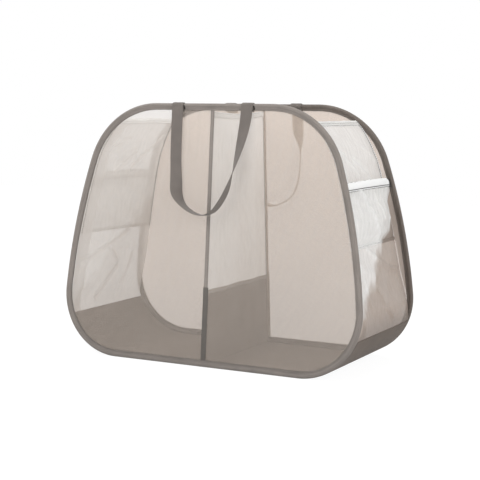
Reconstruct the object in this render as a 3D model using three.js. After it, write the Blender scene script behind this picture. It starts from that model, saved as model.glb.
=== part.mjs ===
// Pop up laundry hamper with two compartments, in millimetres, +Z up, origin on the floor under its middle.
// Two sprung wire hoops, each in a sewn cloth binding, hold the mesh panels, front (-Y) and back (+Y).
// Sheer side walls, a divider and a base cloth join the two panels, and a webbing handle hangs outside each.
import * as THREE from 'three';

// Overall sizes. An end panel is measured in its own plane, which leans inward by panelLean.
const panelHeight = 520;
const panelWidth = 668;
const baseDepth = 292;
const panelLean = THREE.MathUtils.degToRad(4);

// Outline of an end panel: flat foot, bottom corner, long bowed side, top corner, flat top.
const bottomCornerRadius = 127;
const sideRadius = 1264;
const topCornerRadius = 159;
const topFlatHalf = 129;

// Space left between neighbouring pieces, and how far past the binding a cloth's edge takes to close on the mesh.
const clearance = 0.3;
const seamEase = 1.5;

// Sprung wire, and the ferrule that joins its two ends.
const wireRadius = 1.5;
const wireEndGap = 0.8;
const ferruleWall = 0.7;
const ferruleLength = 24;

// Binding: one tape folded round the wire, its two flaps closing on the edge of the mesh.
const bindingWidth = 13.5;
const bindingTapeThickness = 1.1;
const flapThickness = 0.9;
const flapStart = 9;
const meshThickness = 0.8;
const meshTuck = 4;

// Side walls, their top hems and the base cloth that turns up into the bottom corners.
const wallThickness = 0.8;
const hemDrop = 25.5;
const hemHeight = 9;
const hemThickness = 2.2;
const baseThickness = 1.5;
const baseTurnUp = 150;

// Side pockets: gathered cloth under an elastic band, sewn down along a bottom seam.
const bandDrop = 146;
const bandHeight = 18;
const bandThickness = 5;
const bandBow = 12;
const bandReach = 13;
const pocketDepth = 124;
const pocketBulge = 20;
const pocketThickness = 0.8;
const gatherHeight = 2.4;
const gatherCount = 9;
const pocketSeamHeight = 6;
const pocketSeamThickness = 1.4;
const sewingGap = 0.6;
const tackLength = 3;
const tackThickness = 4;

// Divider: a sheer upper cloth over a dark lower cloth, joined by a flat seam, with a hem along its top.
const dividerThickness = 0.8;
const dividerTopDrop = 15;
const dividerHemHeight = 12;
const dividerHemThickness = 2;
const dividerSag = 5;
const lowerDividerHeight = 148;
const jointSeamHeight = 8;
const jointSeamThickness = 1.6;

// Tapes that cover the divider's seams on the two mesh panels.
const tapeWidth = 8;
const lowerTapeWidth = 11;
const tapeThickness = 0.6;
const lowerTapeOverlap = 10;

// Webbing handles.
const webWidth = 25;
const webThickness = 1.6;
const handleSpread = 155;
const handleDrop = 216;
const wrapTuck = 15.5;
const bartackWidth = 3;
const bartackThickness = 1;
const bartackLength = 12;

// Counts of facets.
const cornerSteps = 10;
const sideSteps = 6;
const topSteps = 8;
const noseSteps = 8;
const wireSides = 8;
const ferruleSides = 16;
const wallRows = 24;
const wallColumns = 14;
const stripRows = 2;
const stripColumns = 4;
const pocketRows = 9;
const gatherSteps = 4;
const bandSides = 10;
const bandSteps = 12;
const dividerRows = 12;
const dividerColumns = 12;
const lowerDividerRows = 4;
const handleSteps = 48;
const baseSteps = 9;

// Sizes worked out from the ones above.
const ferruleBore = wireRadius + clearance;
const ferruleRadius = ferruleBore + ferruleWall;
const sleeveRadius = (ferruleRadius + clearance) / Math.cos(Math.PI / noseSteps);
const noseRadius = sleeveRadius + bindingTapeThickness;
const meshHalf = meshThickness / 2;
const slotHalf = meshHalf + clearance;
const flapHalf = slotHalf + flapThickness;
const baseLift = noseRadius * (1 - Math.cos(panelLean));
const sinLean = Math.sin(panelLean);
const cosLean = Math.cos(panelLean);
const noseMouth = THREE.MathUtils.degToRad(50);
const noseEnd = noseRadius * (1 + Math.cos(noseMouth));
const hemTop = panelHeight - hemDrop;
const hemBottom = hemTop - hemHeight;
const bandTop = panelHeight - bandDrop;
const bandBottom = bandTop - bandHeight;
const pocketBottom = bandTop - pocketDepth;
const pocketSeamTop = pocketBottom + pocketSeamHeight;
const dividerTop = panelHeight - dividerTopDrop;
const lowerTapeHeight = lowerDividerHeight + lowerTapeOverlap;

// Looks of the cloths, tapes and metal.
const material = (color, roughness, metalness = 0) =>
  new THREE.MeshStandardMaterial({ color, roughness, metalness });
const bindingCloth = material(0x8c847c, 0.85);
const meshCloth = material(0xd7cdc3, 0.9);
const sheerCloth = material(0xf0efed, 0.75);
const bandCloth = material(0xf7f7f5, 0.7);
const dividerCloth = material(0xe6e4e1, 0.8);
const darkCloth = material(0x70685f, 0.85);
const webbing = material(0x87817a, 0.8);
const darkThread = material(0x2e2a28, 0.7);
const springSteel = material(0x9a9ca0, 0.35, 0.9);
const ferruleSteel = material(0xb4b6b8, 0.3, 0.9);

// A closed body from its points and triangles, turned so that its faces point out.
function body(points, triangles) {
  let volume = 0;
  for (const [a, b, c] of triangles) {
    volume += points[a].dot(new THREE.Vector3().crossVectors(points[b], points[c]));
  }
  const index = triangles.flatMap(([a, b, c]) => (volume > 0 ? [a, b, c] : [a, c, b]));
  const geometry = new THREE.BufferGeometry().setFromPoints(points);
  geometry.setIndex(index);
  geometry.computeVertexNormals();
  return geometry;
}

// A sheet with two faces, given as equal grids of points. A looped sheet joins its last row to its first.
function sheet(inner, outer, looped = false) {
  const rows = inner.length;
  const columns = inner[0].length;
  const points = [...inner.flat(), ...outer.flat()];
  const at = (face, row, column) => face * rows * columns + (row % rows) * columns + column;
  const triangles = [];
  const quad = (a, b, c, d) => triangles.push([a, b, c], [a, c, d]);
  const bays = looped ? rows : rows - 1;
  for (let row = 0; row < bays; row++) {
    for (let column = 0; column < columns - 1; column++) {
      quad(at(0, row, column), at(0, row + 1, column), at(0, row + 1, column + 1), at(0, row, column + 1));
      quad(at(1, row, column), at(1, row, column + 1), at(1, row + 1, column + 1), at(1, row + 1, column));
    }
    const last = columns - 1;
    quad(at(0, row, 0), at(1, row, 0), at(1, row + 1, 0), at(0, row + 1, 0));
    quad(at(0, row, last), at(0, row + 1, last), at(1, row + 1, last), at(1, row, last));
  }
  for (let column = 0; column < columns - 1 && !looped; column++) {
    const end = rows - 1;
    quad(at(0, 0, column), at(0, 0, column + 1), at(1, 0, column + 1), at(1, 0, column));
    quad(at(0, end, column), at(1, end, column), at(1, end, column + 1), at(0, end, column + 1));
  }
  return body(points, triangles);
}

// A rod with closed ends through equal rings of points.
function rod(rings) {
  const sides = rings[0].length;
  const points = rings.flat();
  const triangles = [];
  for (let ring = 0; ring < rings.length - 1; ring++) {
    for (let side = 0; side < sides; side++) {
      const a = ring * sides + side;
      const b = ring * sides + ((side + 1) % sides);
      triangles.push([a, b, b + sides], [a, b + sides, a + sides]);
    }
  }
  const last = (rings.length - 1) * sides;
  for (let side = 1; side < sides - 1; side++) {
    triangles.push([0, side + 1, side], [last, last + side, last + side + 1]);
  }
  return body(points, triangles);
}

// 0 at both ends of a span and 1 over its middle. A steeper arch reaches 1 sooner.
const arch = (share, steepness) => Math.min(Math.sin(Math.PI * share) * steepness, 1);
const steps = (count) => Array.from({ length: count + 1 }, (_, step) => step / count);
const mix = THREE.MathUtils.lerp;

// Reads a table of [place, value] pairs, straight between its entries.
function readTable(table, place) {
  const next = Math.max(1, table.findIndex(([entry]) => entry >= place));
  if (place >= table.at(-1)[0]) return table.at(-1)[1];
  const [[from, low], [to, high]] = [table[next - 1], table[next]];
  return mix(low, high, THREE.MathUtils.clamp((place - from) / (to - from), 0, 1));
}

// The three arcs of half an end panel. The side arc's centre is found so that it meets both corners smoothly.
const lowCentre = new THREE.Vector2(panelWidth / 2 - bottomCornerRadius, bottomCornerRadius);
const highCentre = new THREE.Vector2(topFlatHalf, panelHeight - topCornerRadius);
const toLow = sideRadius - bottomCornerRadius;
const toHigh = sideRadius - topCornerRadius;
const between = highCentre.clone().sub(lowCentre);
const foot = (toLow ** 2 - toHigh ** 2 + between.lengthSq()) / (2 * between.length());
const reach = Math.sqrt(toLow ** 2 - foot ** 2);
const along = between.clone().normalize();
const sideCentre = new THREE.Vector2(-along.y, along.x)
  .multiplyScalar(reach)
  .addScaledVector(along, foot)
  .add(lowCentre);
const sideFrom = lowCentre.clone().sub(sideCentre).angle();
const sideTo = highCentre.clone().sub(sideCentre).angle();
const wrapAngle = (angle) => (angle > Math.PI ? angle - 2 * Math.PI : angle);
const arcs = [
  { centre: lowCentre, radius: bottomCornerRadius, from: -Math.PI / 2, to: wrapAngle(sideFrom) },
  { centre: sideCentre, radius: sideRadius, from: wrapAngle(sideFrom), to: wrapAngle(sideTo) },
  { centre: highCentre, radius: topCornerRadius, from: wrapAngle(sideTo), to: Math.PI / 2 },
];

// A point of the outline moved inward by inset, as x across the panel and y up it.
const rimPoint = ({ centre, radius, angle }, inset) =>
  new THREE.Vector2(Math.cos(angle), Math.sin(angle)).multiplyScalar(radius - inset).add(centre);

// The place on the right half of the outline at a height, or at a distance along it from the end of the foot.
function rimAtHeight(height) {
  const arc = arcs.find(({ centre, radius, to }) => height < centre.y + radius * Math.sin(to)) ?? arcs[2];
  return { ...arc, angle: Math.asin((height - arc.centre.y) / arc.radius) };
}
function rimDistance(height) {
  let distance = 0;
  for (const arc of arcs) {
    if (height < arc.centre.y + arc.radius * Math.sin(arc.to)) {
      return distance + arc.radius * (Math.asin((height - arc.centre.y) / arc.radius) - arc.from);
    }
    distance += arc.radius * (arc.to - arc.from);
  }
  return distance;
}
function rimAtDistance(distance) {
  let left = distance;
  for (const arc of arcs) {
    const length = arc.radius * (arc.to - arc.from);
    if (left <= length || arc === arcs[2]) return { ...arc, angle: arc.from + left / arc.radius };
    left -= length;
  }
}

// Stations all round the outline, from the middle of the foot, up the right side and down the left.
const mirror = (station) => ({
  ...station,
  centre: new THREE.Vector2(-station.centre.x, station.centre.y),
  angle: Math.PI - station.angle,
});
const onMiddle = ({ centre, radius }, angle) => ({ centre: new THREE.Vector2(0, centre.y), radius, angle });
const arcStations = (arc, count, skip) =>
  steps(count).slice(skip).map((share) => ({ ...arc, angle: mix(arc.from, arc.to, share) }));
const rightStations = [
  ...arcStations(arcs[0], cornerSteps, 0),
  ...arcStations(arcs[1], sideSteps, 1),
  ...arcStations(arcs[2], topSteps, 1),
];
const stations = [
  onMiddle(arcs[0], -Math.PI / 2),
  ...rightStations,
  onMiddle(arcs[2], Math.PI / 2),
  ...rightStations.map(mirror).reverse(),
];

// Half the thickness of the binding at a distance inward from the outline.
function bindingHalf(inset) {
  if (inset <= 0) return 0;
  if (inset < noseEnd) return Math.sqrt(noseRadius ** 2 - (inset - noseRadius) ** 2);
  const noseEndHalf = noseRadius * Math.sin(noseMouth);
  const share = THREE.MathUtils.clamp((inset - noseEnd) / (flapStart - noseEnd), 0, 1);
  return mix(noseEndHalf, flapHalf, share);
}
const bindingSpace = (inset) => {
  const past = (inset - bindingWidth - seamEase) / seamEase;
  const beside = mix(flapHalf, meshHalf, THREE.MathUtils.clamp(past, 0, 1));
  const besideNose = Math.max(bindingHalf(inset - clearance), bindingHalf(inset + clearance));
  return (inset < flapStart + clearance ? Math.max(besideNose, beside) : beside) + clearance;
};

// End panels. Each is drawn standing at the front: x across, y out through the panel, z up in its plane.
const front = new THREE.Group();
front.position.set(0, -baseDepth / 2, baseLift);
front.rotation.set(-panelLean, 0, 0);
const back = new THREE.Group();
back.rotation.set(0, 0, Math.PI);
const backLean = new THREE.Group();
backLean.position.set(0, -baseDepth / 2, baseLift);
backLean.rotation.set(-panelLean, 0, 0);
back.add(backLean);
const hamper = new THREE.Group();
hamper.add(front, back);

function place(group, name, geometry, look) {
  const mesh = new THREE.Mesh(geometry, look);
  mesh.name = name;
  group.add(mesh);
  return mesh;
}

// In a panel's own frame: a point at (x, up), standing out by outward from the middle of the mesh.
const panelPoint = (x, outward, up) => new THREE.Vector3(x, -outward, up);

// Wire: an open ring whose ends meet inside the ferrule, in the middle of the foot.
function hoopWire() {
  const ring = (point, normal) =>
    steps(wireSides).slice(1).map((share) => {
      const angle = 2 * Math.PI * share;
      const inPlane = wireRadius * Math.cos(angle);
      const across = wireRadius * Math.sin(angle);
      return panelPoint(point.x + inPlane * normal.x, across, point.y + inPlane * normal.y);
    });
  const down = new THREE.Vector2(0, -1);
  const start = new THREE.Vector2(wireEndGap / 2, noseRadius);
  const end = new THREE.Vector2(-wireEndGap / 2, noseRadius);
  const rings = stations.slice(1).map((station) => {
    const normal = new THREE.Vector2(Math.cos(station.angle), Math.sin(station.angle));
    return ring(rimPoint(station, noseRadius), normal);
  });
  return rod([ring(start, down), ...rings, ring(end, down)]);
}

function wireFerrule() {
  const half = ferruleLength / 2;
  const bore = ferruleBore / Math.cos(Math.PI / ferruleSides);
  const profile = [[bore, -half], [ferruleRadius, -half], [ferruleRadius, half], [bore, half], [bore, -half]];
  const points = profile.map(([radius, height]) => new THREE.Vector2(radius, height));
  return new THREE.LatheGeometry(points, ferruleSides).rotateZ(Math.PI / 2).translate(0, 0, noseRadius);
}

// Binding: a C section, open towards the middle of the panel, swept round the outline.
function binding() {
  const fold = (radius, mouth, flap) => {
    const nose = steps(noseSteps).map((share) => {
      const angle = mix(mouth, 2 * Math.PI - mouth, share);
      return [noseRadius + radius * Math.cos(angle), radius * Math.sin(angle)];
    });
    return [[bindingWidth, flap], [flapStart, flap], ...nose, [flapStart, -flap], [bindingWidth, -flap]];
  };
  const slotMouth = Math.asin(slotHalf / sleeveRadius);
  const inside = fold(sleeveRadius, slotMouth, slotHalf);
  const outside = fold(noseRadius, noseMouth, flapHalf);
  const grid = (section) =>
    stations.map((station) =>
      section.map(([inset, outward]) => {
        const point = rimPoint(station, inset);
        return panelPoint(point.x, outward, point.y);
      }));
  return sheet(grid(inside), grid(outside), true);
}

// Mesh panel: its edge is tucked between the flaps of the binding. The mesh itself is a fine weave.
function meshPanel() {
  const shape = new THREE.Shape(stations.map((station) => rimPoint(station, bindingWidth - meshTuck)));
  return new THREE.ExtrudeGeometry(shape, { depth: meshThickness, bevelEnabled: false })
    .rotateX(Math.PI / 2)
    .translate(0, meshHalf, 0);
}

// Flat tape on the outside of the mesh, in the middle of the panel.
function centreTape(width, low, high) {
  const outward = slotHalf + tapeThickness / 2;
  const middle = mix(low, high, 1 / 2);
  return new THREE.BoxGeometry(width, tapeThickness, high - low).translate(0, -outward, middle);
}

// Sewn end of a handle: webbing that comes over the top of the binding and down its inner face.
const pivotOut = noseRadius + clearance + webThickness;
const pivotUp = panelHeight - noseRadius + clearance;
function strip(inner, outer, width) {
  const shape = new THREE.Shape([...inner, ...outer.reverse()]);
  return new THREE.ExtrudeGeometry(shape, { depth: width, bevelEnabled: false })
    .translate(0, 0, -width / 2)
    .rotateX(Math.PI / 2)
    .rotateZ(Math.PI / 2);
}
const overNose = (radius, angle) =>
  new THREE.Vector2(-radius * Math.cos(angle), panelHeight - noseRadius + radius * Math.sin(angle));
function handleWrap() {
  const start = Math.asin(2 * webThickness / pivotOut);
  const end = 3 / 2 * Math.PI - noseMouth;
  const face = (offset) => {
    const radius = noseRadius + clearance + offset;
    const over = steps(noseSteps).map((share) => overNose(radius, mix(start, end, share)));
    const flapFace = flapHalf + clearance + offset;
    const knee = new THREE.Vector2(flapFace, panelHeight - flapStart);
    const tail = new THREE.Vector2(flapFace, panelHeight - wrapTuck);
    return [...over, knee, tail];
  };
  return strip(face(0), face(webThickness), webWidth);
}

// Dark bar of stitches on the outer face of the binding, beside the handle.
function bartack() {
  const face = (offset) => {
    const radius = noseRadius + clearance + offset;
    const beside = [0, 1 / 2, 1].map((share) => overNose(radius, share * (noseMouth - Math.PI / 2)));
    const flapFace = -(flapHalf + clearance + offset);
    const knee = new THREE.Vector2(flapFace, panelHeight - flapStart);
    const tail = new THREE.Vector2(flapFace, panelHeight - bartackLength);
    return [...beside, knee, tail];
  };
  return strip(face(0), face(bartackThickness), bartackWidth);
}

// Handle: one length of webbing between its two sewn ends, hanging in a loop that twists as it turns up.
// Each row is a share of half the spread, a share of the drop and a share of a quarter turn of twist.
const loopShares = [
  [-1, 0, 0],
  [-1, 0.18, 0],
  [-1, 0.36, 0],
  [-0.985, 0.54, 0],
  [-0.94, 0.69, 0.06],
  [-0.85, 0.81, 0.4],
  [-0.68, 0.9, 0.85],
  [-0.4, 0.97, 0.97],
  [-0.06, 1, 1],
  [0.22, 0.965, 1],
  [0.44, 0.875, 1],
  [0.61, 0.76, 0.94],
  [0.73, 0.62, 0.72],
  [0.83, 0.46, 0.45],
  [0.92, 0.29, 0.2],
  [0.98, 0.13, 0.04],
  [1, 0, 0],
];
function handle() {
  const route = new THREE.CatmullRomCurve3(loopShares.map(([side, drop, twist]) =>
    new THREE.Vector3(side * handleSpread / 2, drop * handleDrop, twist)), false, 'centripetal');
  const inner = [];
  const outer = [];
  for (const share of steps(handleSteps)) {
    const here = route.getPoint(share);
    const heading = route.getTangent(share);
    const ahead = new THREE.Vector2(heading.x, -heading.y).normalize();
    const turn = THREE.MathUtils.clamp(here.z, 0, 1) * Math.PI / 2;
    const outward = pivotOut - webThickness / 2 + webWidth / 2 * Math.sin(turn);
    const centre = panelPoint(here.x, outward, pivotUp - here.y);
    const across = panelPoint(-ahead.y * Math.cos(turn), -Math.sin(turn), ahead.x * Math.cos(turn));
    const through = panelPoint(-ahead.y * Math.sin(turn), Math.cos(turn), ahead.x * Math.sin(turn));
    const edge = (side, face) =>
      centre.clone()
        .addScaledVector(across, side * webWidth / 2)
        .addScaledVector(through, face * webThickness / 2);
    inner.push([edge(-1, -1), edge(1, -1)]);
    outer.push([edge(-1, 1), edge(1, 1)]);
  }
  return sheet(inner, outer);
}

for (const [name, group] of [['front', front], ['back', backLean]]) {
  place(group, `${name}_hoop_wire`, hoopWire(), springSteel);
  place(group, `${name}_wire_ferrule`, wireFerrule(), ferruleSteel);
  place(group, `${name}_binding`, binding(), bindingCloth);
  place(group, `${name}_mesh_panel`, meshPanel(), meshCloth);
  const tapeLow = bindingWidth + clearance;
  const tapeHigh = panelHeight - bindingWidth - clearance;
  const lowerTape = centreTape(lowerTapeWidth, tapeLow, lowerTapeHeight);
  const upperTape = centreTape(tapeWidth, lowerTapeHeight + clearance, tapeHigh);
  place(group, `${name}_lower_seam_tape`, lowerTape, bindingCloth);
  place(group, `${name}_upper_seam_tape`, upperTape, bindingCloth);
  place(group, `${name}_handle`, handle(), webbing);
  for (const [end, side] of [['left', -1], ['right', 1]]) {
    const middle = side * handleSpread / 2;
    const beside = middle + webWidth / 2 + clearance + bartackWidth / 2;
    place(group, `${name}_${end}_handle_wrap`, handleWrap(), webbing).position.x = middle;
    place(group, `${name}_${end}_bartack`, bartack(), darkThread).position.x = beside;
  }
}

// Cloth between the panels. In the hamper's frame: a point at (x, up) of both panels, a share of the way
// from the front panel to the back one, keeping a space from the middle of each mesh.
function spanPoint(x, up, share, space) {
  const half = baseDepth / 2 - up * sinLean - space * cosLean;
  return new THREE.Vector3(x, mix(-half, half, share), up * cosLean - space * sinLean + baseLift);
}

// How far the side walls are sewn in from the outline at each panel, against a share of the height. They start at
// its corner, run along the inner edge of the front binding and further in over the back mesh, and meet both
// bindings below the hem. Walls are drawn on the right: the left one is turned round, so its shares run forward.
const frontWallInsets = [
  [0, 0],
  [0.155, 2],
  [0.24, 14],
  [0.27, 14.8],
  [0.88, 14.8],
  [0.95, 8.5],
  [1, 8.5],
];
const backWallInsets = [
  [0, 0],
  [0.155, 2],
  [0.24, 15],
  [0.35, 24],
  [0.5, 27],
  [0.64, 25.5],
  [0.73, 23.5],
  [0.84, 22.5],
  [0.88, 19],
  [0.92, 13.5],
  [0.95, 8.5],
  [1, 8.5],
];
function wallInset(up, share, side) {
  const [atFront, atBack] = [frontWallInsets, backWallInsets].map((table) => readTable(table, up / panelHeight));
  return mix(atFront, atBack, side > 0 ? share : 1 - share);
}

// Main folds of a side wall. Each runs from one point to another, as shares of the depth and of the height,
// and has a rise and a breadth. Folds die out a margin away from the sewn edges and behind the pocket.
const foldRise = 6;
const foldMargin = 24;
const foldSteepness = 2;
const wallFoot = rimPoint(rimAtDistance(baseTurnUp), 0).y;
const foldShares = [
  { from: [0.05, 0.88], to: [0.5, 0.75], rise: -0.7, breadth: 0.05 },
  { from: [0.55, 0.9], to: [0.95, 0.78], rise: 0.7, breadth: 0.05 },
  { from: [0.1, 0.46], to: [0.88, 0.16], rise: 1, breadth: 0.05 },
  { from: [0.15, 0.3], to: [0.5, 0.14], rise: -0.6, breadth: 0.06 },
  { from: [0.9, 0.45], to: [0.6, 0.25], rise: -0.7, breadth: 0.06 },
];
function foldAt(share, up) {
  const here = new THREE.Vector2(share, up / panelHeight);
  const calm = Math.min(
    Math.max(pocketBottom - foldMargin - up, up - bandTop - foldMargin) / foldMargin,
    (hemBottom - foldMargin - up) / foldMargin,
    (up - wallFoot) / foldMargin,
    1,
  );
  const edge = arch(share, foldSteepness);
  let rise = 0;
  for (const fold of foldShares) {
    const start = new THREE.Vector2(...fold.from);
    const run = new THREE.Vector2(...fold.to).sub(start);
    const way = THREE.MathUtils.clamp(here.clone().sub(start).dot(run) / run.lengthSq(), 0, 1);
    const off = here.distanceTo(start.addScaledVector(run, way)) / fold.breadth;
    rise += fold.rise * Math.exp(-off * off);
  }
  return foldRise * rise * edge * Math.max(calm, 0);
}

// A sheet hung along the right half of the outline, between two distances along it.
function hung(low, high, rows, columns, thickness, insetAt) {
  const grid = (offset) =>
    steps(rows).map((row) => {
      const station = rimAtDistance(mix(low, high, row));
      const height = rimPoint(station, 0).y;
      const [first, last] = [0, 1].map((share) => {
        const edge = insetAt(height, share, row);
        return Math.max(bindingSpace(edge), bindingSpace(edge - thickness));
      });
      return steps(columns).map((share) => {
        const point = rimPoint(station, insetAt(height, share, row) - offset);
        return spanPoint(point.x, point.y, share, mix(first, last, share));
      });
    });
  return sheet(grid(0), grid(thickness));
}

// The pocket stands off the wall: sewn at its foot and sides, fullest below the middle, gathered at the band, whose
// ends reach out over the wall's seams to the binding.
const bowSteepness = 1.4;
const bulgeShares = [[0, 0], [0.15, 0.6], [0.4, 1], [0.75, 0.85], [1, 1]];
const liftStartShare = 0.7;
const pocketStand = (share, row, inset) => {
  const full = mix(pocketBulge, bandBow, THREE.MathUtils.smoothstep(row, 1 / 2, 1));
  const bow = full * readTable(bulgeShares, row) * arch(share, bowSteepness);
  const gather = gatherHeight * row * Math.sin(Math.PI * share) * Math.sin(2 * Math.PI * gatherCount * share);
  const lift = (inset - wallThickness - bandReach) * THREE.MathUtils.smoothstep(row, liftStartShare, 1);
  return sewingGap + bow + gather * Math.min(bow / bandBow, 1) + lift;
};

// Where a tack starts beside the binding.
const tackSpace = (flat) => Math.max(bindingSpace(flat), bindingSpace(flat - tackThickness));

// Elastic band along the top of a pocket: a flat roll, bowed away from the wall so that the pocket opens.
function elasticBand() {
  const station = rimAtHeight(mix(bandBottom, bandTop, 1 / 2));
  const outwards = new THREE.Vector2(Math.cos(station.angle), Math.sin(station.angle));
  const upwards = new THREE.Vector2(-outwards.y, outwards.x);
  const flat = bandReach - bandThickness / 2;
  const space = tackSpace(bandReach) + tackLength + clearance;
  return rod(steps(bandSteps).map((share) => {
    const centre = rimPoint(station, flat - bandBow * arch(share, bowSteepness));
    return steps(bandSides).slice(1).map((turn) => {
      const angle = 2 * Math.PI * turn;
      const point = centre.clone()
        .addScaledVector(outwards, bandThickness / 2 * Math.cos(angle))
        .addScaledVector(upwards, bandHeight / 2 * Math.sin(angle));
      return spanPoint(point.x, point.y, share, space);
    });
  }));
}

// Dark tack of thread that holds one end of a band to the binding. facing is -1 at the front, 1 at the back.
function bandTack(facing) {
  const near = tackSpace(bandReach);
  const spaces = [near, near + tackLength];
  const low = rimDistance(mix(bandBottom, bandTop, 1 / 4));
  const high = rimDistance(mix(bandBottom, bandTop, 3 / 4));
  const grid = (offset) =>
    [low, high].map((distance) => {
      const point = rimPoint(rimAtDistance(distance), bandReach - offset);
      return spaces.map((space) => spanPoint(point.x, point.y, (1 + facing) / 2, space));
    });
  return sheet(grid(0), grid(tackThickness));
}

const wallStart = baseTurnUp + clearance;
for (const [name, side] of [['left', -1], ['right', 1]]) {
  const flank = new THREE.Group();
  flank.rotation.z = side > 0 ? 0 : Math.PI;
  hamper.add(flank);
  const put = (piece, geometry, look) => place(flank, `${name}_${piece}`, geometry, look);

  const sewnAt = (up, share) => wallInset(up, share, side);
  const wallFace = (up, share) => sewnAt(up, share) - foldAt(share, up);
  const hemStart = rimDistance(hemBottom);
  const wallEnd = hemStart - clearance;
  put('side_wall', hung(wallStart, wallEnd, wallRows, wallColumns, wallThickness, wallFace), sheerCloth);

  const hemFace = (up, share) => wallFace(up, share) + (hemThickness - wallThickness) / 2;
  const hemEnd = rimDistance(hemTop);
  put('side_wall_hem', hung(hemStart, hemEnd, stripRows, stripColumns, hemThickness, hemFace), bandCloth);

  const seamFace = (up, share) => sewnAt(up, share) - wallThickness - sewingGap;
  const seamStart = rimDistance(pocketBottom);
  const seamEnd = rimDistance(pocketSeamTop);
  const seam = hung(seamStart, seamEnd, stripRows, stripColumns, pocketSeamThickness, seamFace);
  put('pocket_seam', seam, bandCloth);

  const pocketFace = (up, share, row) => {
    const inset = sewnAt(up, share);
    return inset - wallThickness - pocketStand(share, row, inset);
  };
  const pocketStart = seamEnd + clearance;
  const pocketEnd = rimDistance(bandBottom) - clearance;
  const pocketColumns = gatherCount * gatherSteps;
  const pocket = hung(pocketStart, pocketEnd, pocketRows, pocketColumns, pocketThickness, pocketFace);
  put('pocket', pocket, sheerCloth);

  put('pocket_band', elasticBand(), bandCloth);
  put('front_band_tack', bandTack(-side), darkThread);
  put('back_band_tack', bandTack(side), darkThread);
}

// Base cloth: flat on the floor, turned up into the two bottom corners.
function baseCloth() {
  const turned = steps(baseSteps).map((share) => rimAtDistance(share * baseTurnUp));
  const row = [...turned.map(mirror).reverse(), ...turned];
  const space = bindingSpace(baseThickness);
  const lift = (space * sinLean - baseLift) / cosLean;
  const grid = (inset) =>
    row.map((station) => {
      const point = rimPoint(station, inset);
      return [0, 1].map((share) => spanPoint(point.x, point.y + lift, share, space));
    });
  return sheet(grid(baseThickness), grid(0));
}
place(hamper, 'base_cloth', baseCloth(), darkCloth);

// Divider, in the middle of the hamper, with soft upright folds that die out at its four edges.
const dividerFoldRise = 5;
const dividerFoldShares = [[0.22, 0.8], [0.45, -0.7], [0.62, 0.6], [0.82, -0.8]];
const dividerFoldBreadthShare = 0.09;
const dividerFoldDriftShare = 0.12;
function dividerFold(share, up) {
  const height = up / dividerTop;
  const calm = Math.sin(Math.PI * THREE.MathUtils.clamp(height, 0, 1));
  let rise = 0;
  for (const [middle, size] of dividerFoldShares) {
    const drift = middle + dividerFoldDriftShare * (1 - height);
    rise += size * Math.exp(-(((share - drift) / dividerFoldBreadthShare) ** 2));
  }
  return dividerFoldRise * rise * calm * arch(share, foldSteepness);
}
function dividerSpace(up) {
  const inset = Math.min(up, panelHeight - up);
  return Math.max(inset < flapStart ? noseRadius : 0, flapHalf) + clearance;
}
function dividerSheet(low, high, rows, thickness, lowSag, highSag) {
  const grid = (face) =>
    steps(rows).map((row) => {
      const level = mix(low, high, row);
      const sag = mix(lowSag, highSag, row);
      return steps(dividerColumns).map((share) => {
        const up = level - sag * Math.sin(Math.PI * share);
        const x = dividerFold(share, level) + face * thickness / 2;
        return spanPoint(x, up, share, dividerSpace(level));
      });
    });
  return sheet(grid(-1), grid(1));
}
const dividerFoot = baseThickness + clearance;
const jointLow = lowerDividerHeight - jointSeamHeight / 2;
const jointHigh = lowerDividerHeight + jointSeamHeight / 2;
const dividerHemLow = dividerTop - dividerHemHeight;
const lowerEnd = jointLow - clearance;
const upperStart = jointHigh + clearance;
const upperEnd = dividerHemLow - clearance;
const lowerCloth = dividerSheet(dividerFoot, lowerEnd, lowerDividerRows, dividerThickness, 0, 0);
const upperCloth = dividerSheet(upperStart, upperEnd, dividerRows, dividerThickness, 0, dividerSag);
const jointSeam = dividerSheet(jointLow, jointHigh, 1, jointSeamThickness, 0, 0);
const dividerHem = dividerSheet(dividerHemLow, dividerTop, 1, dividerHemThickness, dividerSag, dividerSag);
place(hamper, 'divider_lower_cloth', lowerCloth, darkCloth);
place(hamper, 'divider_joint_seam', jointSeam, bindingCloth);
place(hamper, 'divider_upper_cloth', upperCloth, dividerCloth);
place(hamper, 'divider_top_hem', dividerHem, bandCloth);

export default hamper;
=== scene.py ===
"""Pop up laundry hamper with two compartments: the looks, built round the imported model, in metres."""
import math

import bpy
import numpy as np
from mathutils import Matrix, Vector, noise


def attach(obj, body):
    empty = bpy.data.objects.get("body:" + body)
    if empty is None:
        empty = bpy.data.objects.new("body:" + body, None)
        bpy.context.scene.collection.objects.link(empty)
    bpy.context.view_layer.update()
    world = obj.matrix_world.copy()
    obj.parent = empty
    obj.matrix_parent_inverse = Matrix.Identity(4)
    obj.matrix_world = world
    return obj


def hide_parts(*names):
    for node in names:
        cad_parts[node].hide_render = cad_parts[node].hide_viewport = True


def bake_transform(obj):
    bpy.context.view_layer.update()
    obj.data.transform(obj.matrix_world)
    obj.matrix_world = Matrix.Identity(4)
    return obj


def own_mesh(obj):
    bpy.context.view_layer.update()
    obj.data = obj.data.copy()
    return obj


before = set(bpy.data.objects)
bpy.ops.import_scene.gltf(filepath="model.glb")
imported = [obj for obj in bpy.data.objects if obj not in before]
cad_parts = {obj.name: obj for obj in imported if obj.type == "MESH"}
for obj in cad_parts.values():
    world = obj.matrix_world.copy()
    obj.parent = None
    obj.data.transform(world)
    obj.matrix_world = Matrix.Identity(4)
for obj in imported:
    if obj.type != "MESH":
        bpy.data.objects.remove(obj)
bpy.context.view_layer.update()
scene = bpy.context.scene

MM = 0.001
CLOTH_MAP = "cloth"
MARK_MAP = "marks"
SIDES = {"left": -1, "right": 1}
ENDS = ("front", "back")

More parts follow.
